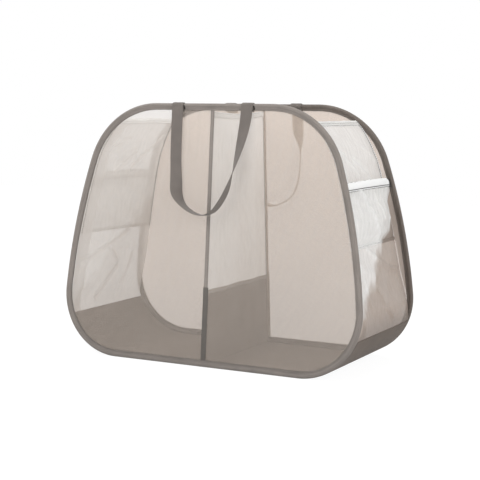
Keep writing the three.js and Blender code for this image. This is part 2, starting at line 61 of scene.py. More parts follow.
# Overall sizes, as the model has them. An end panel is measured in its own plane, which leans inward.
PANEL_HEIGHT = 520 * MM
PANEL_WIDTH = 668 * MM
BASE_DEPTH = 292 * MM
PANEL_LEAN = math.radians(4)
BOTTOM_CORNER_RADIUS = 127 * MM
SIDE_RADIUS = 1264 * MM
TOP_CORNER_RADIUS = 159 * MM
TOP_FLAT_HALF = 129 * MM
CLEARANCE = 0.3 * MM

# Binding, and the wire's ferrule in it.
FERRULE_RADIUS = 2.5 * MM
BINDING_WIDTH = 13.5 * MM
TAPE_THICKNESS = 1.1 * MM
FLAP_THICKNESS = 0.9 * MM
FLAP_START = 9 * MM
MESH_THICKNESS = 0.8 * MM
MESH_TUCK = 4 * MM
NOSE_FACETS = 8

# Side walls, their hems and the base.
WALL_THICKNESS = 0.8 * MM
HEM_DROP = 25.5 * MM
HEM_HEIGHT = 9 * MM
HEM_THICKNESS = 2.2 * MM
BASE_THICKNESS = 1.5 * MM
BASE_TURN_UP = 150 * MM

# Pockets.
BAND_DROP = 146 * MM
BAND_HEIGHT = 18 * MM
BAND_THICKNESS = 5 * MM
BAND_BOW = 12 * MM
BAND_REACH = 13 * MM
POCKET_DEPTH = 124 * MM
POCKET_BULGE = 20 * MM
POCKET_SEAM_HEIGHT = 6 * MM
POCKET_SEAM_THICKNESS = 1.4 * MM
SEWING_GAP = 0.6 * MM
TACK_LENGTH = 3 * MM
TACK_THICKNESS = 4 * MM

# Divider, and the tapes over its seams.
DIVIDER_TOP_DROP = 15 * MM
DIVIDER_HEM_HEIGHT = 12 * MM
DIVIDER_HEM_THICKNESS = 2 * MM
DIVIDER_SAG = 5 * MM
LOWER_DIVIDER_HEIGHT = 148 * MM
JOINT_SEAM_HEIGHT = 8 * MM
JOINT_SEAM_THICKNESS = 1.6 * MM
UPPER_TAPE_WIDTH = 8 * MM
LOWER_TAPE_WIDTH = 11 * MM
SEAM_TAPE_THICKNESS = 0.6 * MM
LOWER_TAPE_OVERLAP = 10 * MM

# Webbing handles.
WEB_WIDTH = 25 * MM
WEB_THICKNESS = 1.6 * MM
HANDLE_SPREAD = 155 * MM
HANDLE_DROP = 216 * MM
WRAP_TUCK = 15.5 * MM
BARTACK_WIDTH = 3 * MM
BARTACK_LENGTH = 12 * MM

# Sizes worked out from the ones above.
SIN_LEAN, COS_LEAN = math.sin(PANEL_LEAN), math.cos(PANEL_LEAN)
SLEEVE_RADIUS = (FERRULE_RADIUS + CLEARANCE) / math.cos(math.pi / NOSE_FACETS)
NOSE_RADIUS = SLEEVE_RADIUS + TAPE_THICKNESS
SLOT_HALF = MESH_THICKNESS / 2 + CLEARANCE
FLAP_HALF = SLOT_HALF + FLAP_THICKNESS
BASE_LIFT = NOSE_RADIUS * (1 - COS_LEAN)
NOSE_MOUTH = math.radians(50)
NOSE_END = NOSE_RADIUS * (1 + math.cos(NOSE_MOUTH))
NOSE_UP = PANEL_HEIGHT - NOSE_RADIUS
HEM_TOP = PANEL_HEIGHT - HEM_DROP
HEM_BOTTOM = HEM_TOP - HEM_HEIGHT
BAND_TOP = PANEL_HEIGHT - BAND_DROP
BAND_BOTTOM = BAND_TOP - BAND_HEIGHT
POCKET_BOTTOM = BAND_TOP - POCKET_DEPTH
POCKET_SEAM_TOP = POCKET_BOTTOM + POCKET_SEAM_HEIGHT
DIVIDER_TOP = PANEL_HEIGHT - DIVIDER_TOP_DROP
FOOT_HALF = PANEL_WIDTH / 2 - BOTTOM_CORNER_RADIUS
PIVOT_OUT = NOSE_RADIUS + CLEARANCE + WEB_THICKNESS
PIVOT_UP = NOSE_UP + CLEARANCE


def half_outline():
    """The three arcs of half an end panel, each as its centre, radius, first and last angle."""
    low = np.array([FOOT_HALF, BOTTOM_CORNER_RADIUS])
    high = np.array([TOP_FLAT_HALF, PANEL_HEIGHT - TOP_CORNER_RADIUS])
    to_low, to_high = SIDE_RADIUS - BOTTOM_CORNER_RADIUS, SIDE_RADIUS - TOP_CORNER_RADIUS
    between = high - low
    gap = np.linalg.norm(between)
    along = between / gap
    foot = (to_low**2 - to_high**2 + gap**2) / (2 * gap)
    reach = math.sqrt(to_low**2 - foot**2)
    side = low + along * foot + np.array([-along[1], along[0]]) * reach
    side_from = math.atan2(*(low - side)[::-1])
    side_to = math.atan2(*(high - side)[::-1])
    return [
        (low, BOTTOM_CORNER_RADIUS, -math.pi / 2, side_from),
        (side, SIDE_RADIUS, side_from, side_to),
        (high, TOP_CORNER_RADIUS, side_to, math.pi / 2),
    ]


def sample_outline(steps=240):
    """Rows of (distance, x, up, normal) round the outline, from the middle of its foot up the right."""
    rows = [(0.0, 0.0, 0.0, 0.0, -1.0)]
    distance = FOOT_HALF
    for centre, radius, start, end in half_outline():
        for share in np.linspace(0, 1, steps):
            angle = start + (end - start) * share
            normal = np.array([math.cos(angle), math.sin(angle)])
            rows.append((distance + radius * (end - start) * share, *(centre + radius * normal), *normal))
        distance += radius * (end - start)
    rows.append((distance + TOP_FLAT_HALF, 0.0, PANEL_HEIGHT, 0.0, 1.0))
    right = np.array(rows)
    left = right[::-1] * [1, -1, 1, -1, 1]
    left[:, 0] = 2 * right[-1, 0] - left[:, 0]
    return np.vstack([right, left[1:]])


OUTLINE = sample_outline()
RIGHT_HALF = OUTLINE[: len(OUTLINE) // 2 + 1]
ROUND = OUTLINE[-1, 0]
ARCS_END = ROUND / 2 - TOP_FLAT_HALF


def rim(distance, inset=0.0):
    """x and up at a distance round the outline from the middle of its foot, moved inward by inset."""
    x, up, across, upward = (np.interp(distance, OUTLINE[:, 0], OUTLINE[:, i]) for i in range(1, 5))
    size = np.hypot(across, upward)
    return x - inset * across / size, up - inset * upward / size


def rim_distance(height):
    """How far round the right half of the outline a height lies."""
    return np.interp(height, RIGHT_HALF[:, 2], RIGHT_HALF[:, 0])


def triples(x, y, z):
    """Points from three coordinates, each a number or a grid."""
    return np.stack(np.broadcast_arrays(x, y, z), -1)


def on_panel(points, end):
    """Points of an end panel's own frame, as (x, outward, up), placed in the hamper's frame."""
    x, outward, up = np.moveaxis(np.asarray(points, float), -1, 0)
    turn = 1 if end == "front" else -1
    y = up * SIN_LEAN - outward * COS_LEAN - BASE_DEPTH / 2
    return triples(turn * x, turn * y, up * COS_LEAN + outward * SIN_LEAN + BASE_LIFT)


def turned_to_panel(vectors, end):
    """Directions of an end panel's own frame, turned into the hamper's frame."""
    return on_panel(vectors, end) - on_panel(np.zeros(3), end)


def span(x, up, share, space):
    """A point at (x, up) of both panels, a share of the way from front to back, space clear of each."""
    half = BASE_DEPTH / 2 - up * SIN_LEAN - space * COS_LEAN
    return triples(x, half * (2 * share - 1), up * COS_LEAN - space * SIN_LEAN + BASE_LIFT)


def flank(distance, inset, share, space, side):
    """A point of a side wall. On the left side the shares run from the back to the front."""
    points = span(*rim(distance, inset), share, space)
    return points if side > 0 else points * [-1, -1, 1]


def read(table, place):
    """A table of (place, value) pairs, read straight between its entries."""
    places, values = zip(*table)
    return np.interp(place, places, values)


def arch(share, steepness):
    """0 at both ends of a span and 1 over its middle. A steeper arch reaches 1 sooner."""
    return np.minimum(np.sin(np.pi * np.clip(share, 0, 1)) * steepness, 1)


def ease(value, low, high):
    """Goes smoothly from 0 at low to 1 at high."""
    share = np.clip((np.asarray(value, float) - low) / (high - low), 0, 1)
    return share * share * (3 - 2 * share)


def binding_half(inset):
    """Half the thickness of the binding at a distance inward from the outline."""
    inset = np.asarray(inset, float)
    nose = np.sqrt(np.clip(NOSE_RADIUS**2 - (inset - NOSE_RADIUS) ** 2, 0, None))
    neck_share = np.clip((inset - NOSE_END) / (FLAP_START - NOSE_END), 0, 1)
    neck = NOSE_RADIUS * math.sin(NOSE_MOUTH) * (1 - neck_share) + FLAP_HALF * neck_share
    return np.where(inset <= 0, 0, np.where(inset < NOSE_END, nose, neck))


def ripple(points, bump, seed, octaves=2):
    """Smooth noise from about -1 to 1 at each point, with bumps about bump metres wide."""
    shift = Vector((seed, 2.7 * seed, -1.3 * seed))
    flat = np.asarray(points, float).reshape(-1, 3) / bump
    values = [noise.fractal(Vector(point) + shift, 1.0, 2.0, octaves) for point in flat]
    return np.array(values).reshape(np.shape(points)[:-1])


# Meshes from grids of points. Each has a map in metres of cloth, so that weaves keep their real size.
SHARP = math.radians(50)


def put(name, data):
    placed = bpy.data.objects.new(name, data)
    scene.collection.objects.link(placed)
    return placed


def build(name, points, faces, corners, look, marks=None):
    """An object from points, lists of point numbers, and the cloth map and marks of each corner."""
    mesh = bpy.data.meshes.new(name)
    mesh.from_pydata(points.reshape(-1, 3).tolist(), [], faces)
    mesh.uv_layers.new(name=CLOTH_MAP).data.foreach_set("uv", corners.reshape(-1).astype(np.float32))
    if marks is not None:
        mesh.uv_layers.new(name=MARK_MAP).data.foreach_set("uv", marks.reshape(-1).astype(np.float32))
    mesh.shade_smooth()
    mesh.set_sharp_from_angle(angle=SHARP)
    mesh.materials.append(look)
    return put(name, mesh)


def reach_along(path):
    """How far along a path each of its points lies."""
    return np.concatenate([[0], np.cumsum(np.linalg.norm(np.diff(path, axis=0), axis=-1))])


def distances(points, axis):
    """Distances along a grid's rows or columns from its first point, averaged over the other way."""
    steps = np.linalg.norm(np.diff(points, axis=axis), axis=-1).mean(axis=1 - axis)
    return np.concatenate([[0], np.cumsum(steps)])


def circle(count):
    """Angles evenly round a circle."""
    return np.linspace(0, 2 * math.pi, count, endpoint=False)


def grid_faces(rows, columns, looped_rows=False, looped_columns=False):
    """Faces of a grid, with the row and the column of each corner beside them."""
    row, column = np.meshgrid(
        np.arange(rows if looped_rows else rows - 1),
        np.arange(columns if looped_columns else columns - 1),
        indexing="ij",
    )
    row_of = row.reshape(-1, 1) + [0, 1, 1, 0]
    column_of = column.reshape(-1, 1) + [0, 0, 1, 1]
    return row_of % rows * columns + column_of % columns, row_of, column_of


def outward_faces(points, faces, corners):
    """The same faces and corners, turned round if they enclose a space from the inside."""
    a, b, c, d = (points.reshape(-1, 3)[faces[:, i]] for i in range(4))
    volume = np.einsum("ij,ij", a, np.cross(b, c) + np.cross(c, d))
    return (faces, corners) if volume > 0 else (faces[:, ::-1], corners[:, ::-1])


def sheet(name, points, look, cloth=None, marks=None):
    """One layer of cloth, with its points' places on the flat cloth. Its marks are density and painted
    shade.
    """
    faces, row_of, column_of = grid_faces(*points.shape[:2])
    if cloth is None:
        steps = np.linalg.norm(np.diff(points, axis=1), axis=-1)
        across = np.pad(np.cumsum(steps, 1), ((0, 0), (1, 0)))
        down = np.broadcast_to(distances(points, 0)[:, None], across.shape)
        cloth = np.stack([across - across[:, -1:] / 2, down], -1)
    marks = None if marks is None else marks[row_of, column_of]
    return build(name, points, faces.tolist(), cloth[row_of, column_of], look, marks)


def slab(name, inner, outer, look, marks=None):
    """A closed sheet between two equal grids of points, marked as sheet marks its cloth."""
    rows, columns = inner.shape[:2]
    count = rows * columns
    inside = grid_faces(rows, columns)[0]
    marks = np.zeros((rows, columns, 2)) if marks is None else marks
    flat = np.stack(np.meshgrid(distances(outer, 1), distances(outer, 0)), -1)
    cloth = np.concatenate([flat, marks], -1).reshape(-1, 4)
    number = np.arange(count).reshape(rows, columns)
    border = np.concatenate([number[0], number[1:, -1], number[-1, -2::-1], number[-2:0:-1, 0]])
    ahead = np.roll(border, -1)
    rim_faces = np.stack([ahead, border, border + count, ahead + count], 1)
    faces = np.concatenate([inside, inside[:, ::-1] + count, rim_faces])
    points = np.concatenate([inner.reshape(-1, 3), outer.reshape(-1, 3)])
    faces, corners = outward_faces(points, faces, cloth[faces % count])
    return build(name, points, faces.tolist(), corners[..., :2], look, corners[..., 2:])


def sweep(name, rings, look, looped=False):
    """A body through equal closed rings of points, with flat ends unless it is looped."""
    count, sides = rings.shape[:2]
    faces, row_of, column_of = grid_faces(count, sides, looped, True)
    along = distances(np.concatenate([rings, rings[:1]]), 0)
    across = distances(np.concatenate([rings, rings[:, :1]], 1), 1)
    faces, corners = outward_faces(rings, faces, np.stack([along[row_of], across[column_of]], -1))
    faces, corners = faces.tolist(), corners.reshape(-1, 2)
    if not looped:
        kept = faces[0][1] == sides
        ends = [list(range(sides)), list(range(count * sides - 1, (count - 1) * sides - 1, -1))]
        faces += ends if kept else [end[::-1] for end in ends]
        corners = np.concatenate([corners, np.zeros((2 * sides, 2))])
    return build(name, rings, faces, corners, look)


def strap(name, end, centres, across, through, sides=24, squareness=5):
    """Webbing along centres on a panel, its edges round, with the directions across and through it."""
    angle = circle(sides) + math.pi / sides
    rings = on_panel(centres, end)[:, None]
    for way, part, size in ((across, np.cos(angle), WEB_WIDTH), (through, np.sin(angle), WEB_THICKNESS)):
        reach = np.sign(part) * np.abs(part) ** (2 / squareness) * size / 2
        rings = rings + turned_to_panel(way, end)[:, None] * reach[None, :, None]
    return sweep(name, rings, WEBBING)


def unit(vectors):
    return vectors / np.linalg.norm(vectors, axis=-1, keepdims=True)


# A stitch is a short thread whose ends dip in. Each ring is a share of half its length and of its radius.
STITCH_RINGS = np.array([(-1, 0.3), (-0.75, 0.85), (0, 1), (0.75, 0.85), (1, 0.3)])
STITCH_SIDES = 6


def follow(values, reach, places):
    """Points or directions along a path, at places along its reach."""
    return np.stack([np.interp(places, reach, values[:, i]) for i in range(3)], -1)


def stitches(name, end, rows, kind, slant=0.0, nodes=()):
    """Rows of stitches, each a path and the direction away from its cloth. slant turns each stitch."""
    look, length, pitch, radius = THREADS[kind]
    turn = circle(STITCH_SIDES)
    share, girth = STITCH_RINGS[:, 0, None], STITCH_RINGS[:, 1, None] * radius
    forward = np.broadcast_to(share * length / 2, (len(share), STITCH_SIDES))
    sideways = girth * np.cos(turn)
    lift = girth * np.sin(turn) + radius * (0.5 - share**2)
    bodies = []
    for path, away in rows:
        reach = reach_along(path)
        count = max(1, int(reach[-1] // pitch))
        middles = (np.arange(count) + 0.5) * reach[-1] / count
        up = unit(follow(np.broadcast_to(away, np.shape(path)), reach, middles))
        ahead = follow(path, reach, middles + radius) - follow(path, reach, middles - radius)
        ahead = unit(ahead - up * (ahead * up).sum(-1, keepdims=True))
        beside = np.cross(up, ahead)
        along = ahead * math.cos(slant) + beside * math.sin(slant)
        across = beside * math.cos(slant) - ahead * math.sin(slant)
        body = follow(path, reach, middles)[:, None, None]
        for way, size in ((along, forward), (across, sideways), (up, lift)):
            body = body + way[:, None, None] * size[None, ..., None]
        bodies.append(body)
    points = np.concatenate(bodies)
    number, rings = len(points), len(STITCH_RINGS)
    quads, row_of, column_of = grid_faces(rings, STITCH_SIDES, False, True)
    caps = [np.arange(STITCH_SIDES)[::-1], np.arange((rings - 1) * STITCH_SIDES, rings * STITCH_SIDES)]
    starts = np.arange(number)[:, None, None] * rings * STITCH_SIDES
    faces = (starts + quads[:, ::-1]).reshape(-1, 4).tolist()
    faces += (starts + np.stack(caps)).reshape(-1, STITCH_SIDES).tolist()
    quad_map = np.stack([row_of[:, ::-1] * length / rings, column_of[:, ::-1] * radius], -1)
    quad_maps = np.tile(quad_map, (number, 1, 1)).reshape(-1, 2)
    corners = np.concatenate([quad_maps, np.zeros((number * 2 * STITCH_SIDES, 2))])
    dress(build(name, points, faces, corners, look), end, "dark_thread", *nodes)


# Looks. Colours are written as a picture shows them.
def linear(red, green, blue):
    """A colour from 0 to 255 as a picture shows it, as the shaders want it."""
    shares = np.array([red, green, blue]) / 255
    return (*np.where(shares <= 0.04045, shares / 12.92, ((shares + 0.055) / 1.055) ** 2.4), 1.0)


def plug(tree, socket, value):
    """Links a socket, or sets it to a number or to as much of a tuple as it takes."""
    if isinstance(value, bpy.types.NodeSocket):
        tree.links.new(value, socket)
    else:
        socket.default_value = value[: len(socket.default_value)] if isinstance(value, tuple) else value


def add_node(tree, kind, inputs=None, **settings):
    made = tree.nodes.new(kind)
    for name, value in settings.items():
        setattr(made, name, value)
    for name, value in (inputs or {}).items():
        plug(tree, made.inputs[name], value)
    return made


class Look:
    """A material, with short calls for the nodes that the looks share."""

    def __init__(self, name, roughness, sheen=0.0, metallic=0.0):
        self.material = bpy.data.materials.new(name)
        self.material.use_nodes = True
        self.tree = self.material.node_tree
        self.surface = self.tree.nodes["Principled BSDF"]
        self.set("Roughness", roughness)
        self.set("Sheen Weight", sheen)
        self.set("Metallic", metallic)
        self.cloth = self.map(CLOTH_MAP)
        self.x, self.y = self.parts(self.cloth)[:2]
        self.place = self.node("ShaderNodeTexCoord").outputs["Object"]

    def set(self, name, value):
        plug(self.tree, self.surface.inputs[name], value)

    def node(self, kind, inputs=None, **settings):
        return add_node(self.tree, kind, inputs, **settings)

    def map(self, name):
        return self.node("ShaderNodeUVMap", uv_map=name).outputs["UV"]

    def parts(self, vector):
        return self.node("ShaderNodeSeparateXYZ", {"Vector": vector}).outputs

    def math(self, operation, *values):
        return self.node("ShaderNodeMath", dict(enumerate(values)), operation=operation).outputs[0]

    def times(self, first, second):
        return self.math("MULTIPLY", first, second)

    def total(self, *parts):
        """The sum of values, each times its weight."""
        whole = 0.0
        for value, weight in parts:
            whole = self.math("MULTIPLY_ADD", value, weight, whole)
        return whole

    def scaled(self, vector, amount):
        product = self.node("ShaderNodeVectorMath", {0: vector, 1: amount}, operation="MULTIPLY")
        return product.outputs["Vector"]

    def wave(self, value, pitch):
        """From -1 to 1 and back over each pitch."""
        return self.math("SINE", self.times(value, 2 * math.pi / pitch))

    def ribs(self, value, pitch):
        """From 0 to 1 and back over each pitch."""
        return self.fit(self.wave(value, pitch), -1.0, 1.0)

    def noise(self, size, detail=2.0, vector=None):
        """From about 0 to 1, with bumps about size metres wide."""
        inputs = {"Vector": vector or self.place, "Scale": 1 / size, "Detail": detail}
        return self.node("ShaderNodeTexNoise", inputs).outputs["Fac"]

    def fit(self, value, low, high, to_low=0.0, to_high=1.0):
        """Goes from to_low to to_high as the value goes from low to high, and no further."""
        inputs = {"Value": value, "From Min": low, "From Max": high, "To Min": to_low, "To Max": to_high}
        return self.node("ShaderNodeMapRange", inputs).outputs["Result"]

    def mix(self, share, first, second):
        return self.node("ShaderNodeMix", {0: share, 6: first, 7: second}, data_type="RGBA").outputs[2]

    def relief(self, height, depth):
        """Bumps the surface by a height from about 0 to 1, depth metres deep."""
        bump = self.node("ShaderNodeBump", {"Height": height, "Distance": depth, "Strength": 1.0})
        self.set("Normal", bump.outputs["Normal"])

    def tint(self, colour, pattern, darkest, lightest=1.0, mottle=0.05, mottle_size=30 * MM, shade=1.0):
        """A colour that a pattern from 0 to 1 darkens, mottled over a larger size, and shaded."""
        woven = self.scaled(colour, self.fit(pattern, 0.0, 1.0, darkest, lightest))
        patches = self.fit(self.noise(mottle_size), 0.3, 0.7, 1 - mottle, 1 + mottle)
        self.set("Base Color", self.scaled(woven, self.times(patches, shade)))

    def let_through(self, colour, glow, cover):
        """Light from behind shows through the cloth, and what is behind it where cover is under 1."""
        lit = self.node("ShaderNodeBsdfTranslucent", {"Color": colour})
        cloth = self.node("ShaderNodeMixShader", {0: glow, 1: self.surface.outputs[0], 2: lit.outputs[0]})
        clear = self.node("ShaderNodeBsdfTransparent")
        whole = self.node("ShaderNodeMixShader", {0: cover, 1: clear.outputs[0], 2: cloth.outputs[0]})
        plug(self.tree, self.tree.nodes["Material Output"].inputs["Surface"], whole.outputs[0])


# Painted shade near the floor: part of its colour that a tape keeps there, and the heights between which
# that grows.
FLOOR_SHADE = 0.76
SHADE_LOW, SHADE_HIGH = 5 * MM, 160 * MM

# Painted shadow line along the inner edges of the folded tape, and how dark it is beside the tape.
EDGE_LINE = 1.3 * MM
EDGE_SHADE = 0.45

# Painted shade on low cloth: its share of the marks' range, its shade at the foot, and the mesh beside it.
PAINTED_SHADE_SHARE = 0.7
DEEP_SHADE = 0.5
NET_CLOSED = 0.95
# Colours of the painted shade, and of its darker part at the foot.
PAINTED_SHADE_COLOUR = linear(174, 158, 146)
PAINTED_DEEP_SHADE_COLOUR = (*(channel * DEEP_SHADE for channel in PAINTED_SHADE_COLOUR[:3]), 1.0)


def plain_weave(look, pitch):
    """From 0 to 1: threads over and under each other, a pitch apart both ways."""
    return look.fit(look.times(look.wave(look.x, 2 * pitch), look.wave(look.y, 2 * pitch)), -1.0, 1.0)


def ribbed_tape(name, colour, rib=1.1 * MM, yarn=0.7 * MM, depth=0.12 * MM, edges=()):
    """Woven tape with ribs across it, yarns along it, and dark lines at edges, its places across."""
    look = Look(name, 0.82, sheen=0.15)
    ribs, yarns = look.ribs(look.x, rib), look.ribs(look.y, yarn)
    height = look.total((ribs, 0.6), (yarns, 0.25), (look.noise(0.5 * MM), 0.15))
    look.relief(height, depth)
    streaks = look.noise(1.6 * MM, 1.0, look.scaled(look.cloth, (0.02, 1, 1)))
    shade = look.fit(streaks, 0.3, 0.7, 0.86, 1.12)
    # Painted shadow: a dark line at each edge given.
    for edge in edges:
        away = look.math("ABSOLUTE", look.math("SUBTRACT", look.y, edge))
        shade = look.times(shade, look.fit(away, EDGE_LINE / 2, EDGE_LINE, EDGE_SHADE, 1.0))
    # Painted shade: darker towards the floor.
    height_above = look.parts(look.place)["Z"]
    shade = look.times(shade, look.fit(height_above, SHADE_LOW, SHADE_HIGH, FLOOR_SHADE, 1.0))
    look.tint(colour, height, 0.78, 1.1, mottle=0.07, shade=shade)
    return look.material


def herringbone(name, colour, stripe=5 * MM, twill=1.3 * MM, depth=0.2 * MM):
    """Webbing in a herringbone twill, its stripes lengthwise."""
    look = Look(name, 0.72, sheen=0.25)
    twills = look.ribs(look.math("ADD", look.x, look.math("PINGPONG", look.y, stripe / 2)), twill)
    seams = look.fit(look.math("ABSOLUTE", look.wave(look.y, stripe)), 0.0, 0.35, 0.4, 1.0)
    height = look.times(twills, seams)
    look.relief(height, depth)
    look.tint(colour, height, 0.8, 1.1, mottle=0.06, mottle_size=18 * MM)
    return look.material


def net(name, colour, haze, pitch=2.5 * MM, strand=0.13, tall=1.15, glow=0.25, painted_shade=None):
    """Knitted mesh: a lattice of strands, a share of the pitch wide, round holes with soft corners. Fine
    fibres fill haze of each hole. It is closed and has painted shade where its marks say so."""
    look = Look(name, 0.75, sheen=0.1)
    across, up = look.math("DIVIDE", look.x, pitch), look.math("DIVIDE", look.y, pitch * tall)
    lines = []
    for operation in ("ADD", "SUBTRACT"):
        slant = look.times(look.math(operation, across, up), math.pi)
        squared = look.math("POWER", look.math("SINE", slant), 2.0)
        lines.append(look.math("DIVIDE", math.sin(math.pi * strand / 2) ** 2, squared))
    nearness = look.math("ADD", *lines)
    cover = look.fit(nearness, 0.75, 1.25, haze, 1.0)
    # Painted shade: where the marks say, the mesh is closed and takes the shade's colour.
    if painted_shade:
        closed = look.parts(look.map(MARK_MAP))["Y"]
        cover = look.math("MAXIMUM", cover, look.times(closed, NET_CLOSED))
        colour = look.mix(closed, colour, painted_shade)
    look.tint(colour, look.fit(nearness, 1.0, 3.0), 0.94, 1.03, mottle=0.02)
    look.let_through(colour, glow, cover)
    return look.material


def sheer(name, colour, opacity, glow=0.3, streaks=0.06, painted_shade=False):
    """Thin woven cloth: what is behind it shows between its yarns, and glow is the light it lets through.
    Its marks say where it is denser, in folds and doubled edges, and where shade is painted on it."""
    look = Look(name, 0.7, sheen=0.25)
    weave = plain_weave(look, 0.5 * MM)
    slubs = look.noise(7 * MM, 3.0, look.scaled(look.cloth, (1, 0.25, 1)))
    openness = look.fit(weave, 0.0, 1.0, -0.08, 0.08), look.fit(slubs, 0.3, 0.7, -streaks, streaks)
    look.relief(look.total((weave, 0.2), (slubs, 1.0)), 0.25 * MM)
    dense, shade_amount = look.parts(look.map(MARK_MAP))[:2]
    # Painted shade: brown where the marks say, darker brown towards the foot.
    if painted_shade:
        colour = look.mix(look.fit(shade_amount, 0.0, PAINTED_SHADE_SHARE), colour, PAINTED_SHADE_COLOUR)
        colour = look.mix(look.fit(shade_amount, PAINTED_SHADE_SHARE, 1.0), colour, PAINTED_DEEP_SHADE_COLOUR)
    look.tint(colour, weave, 0.96, 1.0, mottle=0.02)
    denser = look.fit(dense, 0.0, 1.0, opacity, 1.0)
    look.let_through(colour, glow, look.total(*((part, 1.0) for part in (*openness, denser))))
    return look.material


def soft_tape(name, colour):
    """White woven tape and elastic, with fine ribs across it."""
    look = Look(name, 0.72, sheen=0.2)
    ribs = look.ribs(look.x, 0.9 * MM)
    look.relief(look.math("ADD", ribs, look.noise(0.8 * MM)), 0.12 * MM)
    look.tint(colour, ribs, 0.95, 1.0, mottle=0.02)
    return look.material


def dark_weave(name, colour, pitch=0.8 * MM):
    """Dark plain-woven cloth."""
    look = Look(name, 0.85, sheen=0.1)
    weave = plain_weave(look, pitch)
    look.relief(look.total((weave, 1.0), (look.noise(1.5 * MM), 0.5)), 0.2 * MM)
    look.tint(colour, weave, 0.75, 1.15, mottle=0.1, mottle_size=45 * MM)
    return look.material


def thread(name, colour):
    """Twisted sewing thread."""
    look = Look(name, 0.6, sheen=0.1)
    twist = look.ribs(look.total((look.x, 1.0), (look.y, 0.8)), 0.5 * MM)
    look.relief(twist, 0.05 * MM)
    look.tint(colour, twist, 0.75, 1.1, mottle=0.08, mottle_size=4 * MM)
    return look.material


def steel(name, colour, roughness):
    """Metal with fine scratches and a duller film in patches."""
    look = Look(name, roughness, metallic=1.0)
    scratches = look.noise(0.3 * MM, 3.0)
    look.set("Roughness", look.fit(look.noise(5 * MM), 0.3, 0.7, roughness, roughness + 0.2))
    look.relief(scratches, 0.02 * MM)
    look.tint(colour, scratches, 0.85, 1.05, mottle=0.05, mottle_size=5 * MM)
    return look.material


SEAM_TAPE = ribbed_tape("seam_tape", linear(146, 138, 132), rib=0.9 * MM)
LOWER_SEAM_TAPE = ribbed_tape("lower_seam_tape", linear(102, 97, 92), rib=0.9 * MM)
WEBBING = herringbone("webbing", linear(114, 106, 100))
FRONT_NET = net("front_net", linear(209, 198, 188), 0.2)
# The back mesh is the same knit as the front; its browner colour and denser haze are painted shade.
SHADED_BACK_NET = net("back_net", linear(218, 195, 176), 0.58, painted_shade=PAINTED_SHADE_COLOUR)
WALL_CLOTH = sheer("wall_cloth", linear(244, 243, 241), 0.77, glow=0.2, painted_shade=True)
POCKET_CLOTH = sheer("pocket_cloth", linear(248, 248, 247), 0.76, glow=0.4, painted_shade=True)
HEM_CLOTH = sheer("hem_cloth", linear(250, 250, 249), 1.0, glow=0.65, streaks=0.0)
DIVIDER_CLOTH = sheer("divider_cloth", linear(252, 252, 251), 0.92, glow=0.62)
DARK_NET = dark_weave("lower_divider_cloth", linear(112, 101, 92))
BASE_CLOTH = dark_weave("base_cloth_weave", linear(94, 81, 70), pitch=1.0 * MM)
WHITE_TAPE = soft_tape("white_tape", linear(250, 250, 249))
JOINT_TAPE = soft_tape("joint_tape", linear(150, 142, 134))
DARK_THREAD = thread("dark_thread", linear(52, 47, 44))
GREY_THREAD = thread("grey_thread", linear(112, 105, 98))
SPRING_STEEL = steel("spring_steel", linear(175, 176, 178), 0.3)
FERRULE_STEEL = steel("ferrule_steel", linear(205, 205, 204), 0.25)

# Rows of stitches: their thread, and the length, pitch and radius of their stitches.
THREADS = {
    "binding": (GREY_THREAD, 2.9 * MM, 4 * MM, 0.28 * MM),
    "tape": (GREY_THREAD, 3.2 * MM, 4.6 * MM, 0.3 * MM),
    "handle_end": (DARK_THREAD, 2.4 * MM, 2.9 * MM, 0.3 * MM),
    "bartack": (DARK_THREAD, BARTACK_WIDTH, 0.5 * MM, 0.33 * MM),
    "wall_hem": (DARK_THREAD, 2.6 * MM, 3.4 * MM, 0.3 * MM),
    "seam": (DARK_THREAD, 3.4 * MM, 4.4 * MM, 0.5 * MM),
    "inner_seam": (DARK_THREAD, 3.4 * MM, 4.4 * MM, 0.85 * MM),
    "pocket": (GREY_THREAD, 2.4 * MM, 3.4 * MM, 0.25 * MM),
    "elastic": (DARK_THREAD, 3 * MM, 3.1 * MM, 0.5 * MM),
    # The inner rows of the elastic are thick: real stitches that also carry painted shade along the band's
    # edges.
    "elastic_inner": (DARK_THREAD, 3 * MM, 3.1 * MM, 1.2 * MM),
    "tack": (DARK_THREAD, TACK_LENGTH * 2, 0.8 * MM, 0.7 * MM),
    "divider_joint": (GREY_THREAD, 2.4 * MM, 3.2 * MM, 0.25 * MM),
    "divider_end": (DARK_THREAD, 3.2 * MM, 4.2 * MM, 0.75 * MM),
}


# Pieces. Each rides on a body, in place of nodes.
FRAMES = {"front": "front_frame", "back": "back_frame", "between": "front_frame"}


def dress(piece, place, slot, *nodes):
    """Lets a piece ride on the frame of its place. Cloth between the panels rides on the front one, with a
    mesh of its own."""
    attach(piece, FRAMES[place])
    if nodes:
        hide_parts(*nodes)
    if place == "between":
        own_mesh(piece)


# How far in from the outline the walls are sewn, by shares of the height, and the painted shade low on them.
FRONT_WALL_INSETS = [
    (0, 0), (0.155, 2 * MM), (0.24, 14 * MM), (0.27, 14.8 * MM), (0.88, 14.8 * MM), (0.95, 8.5 * MM),
    (1, 8.5 * MM),
]
BACK_WALL_INSETS = [
    (0, 0), (0.155, 2 * MM), (0.24, 15 * MM), (0.35, 24 * MM), (0.5, 27 * MM), (0.64, 25.5 * MM),
    (0.73, 23.5 * MM), (0.84, 22.5 * MM), (0.88, 19 * MM), (0.92, 13.5 * MM), (0.95, 8.5 * MM),
    (1, 8.5 * MM),
]
PAINTED_SHADE_BY_SIDE = {"left": 0.3, "right": 0.95}


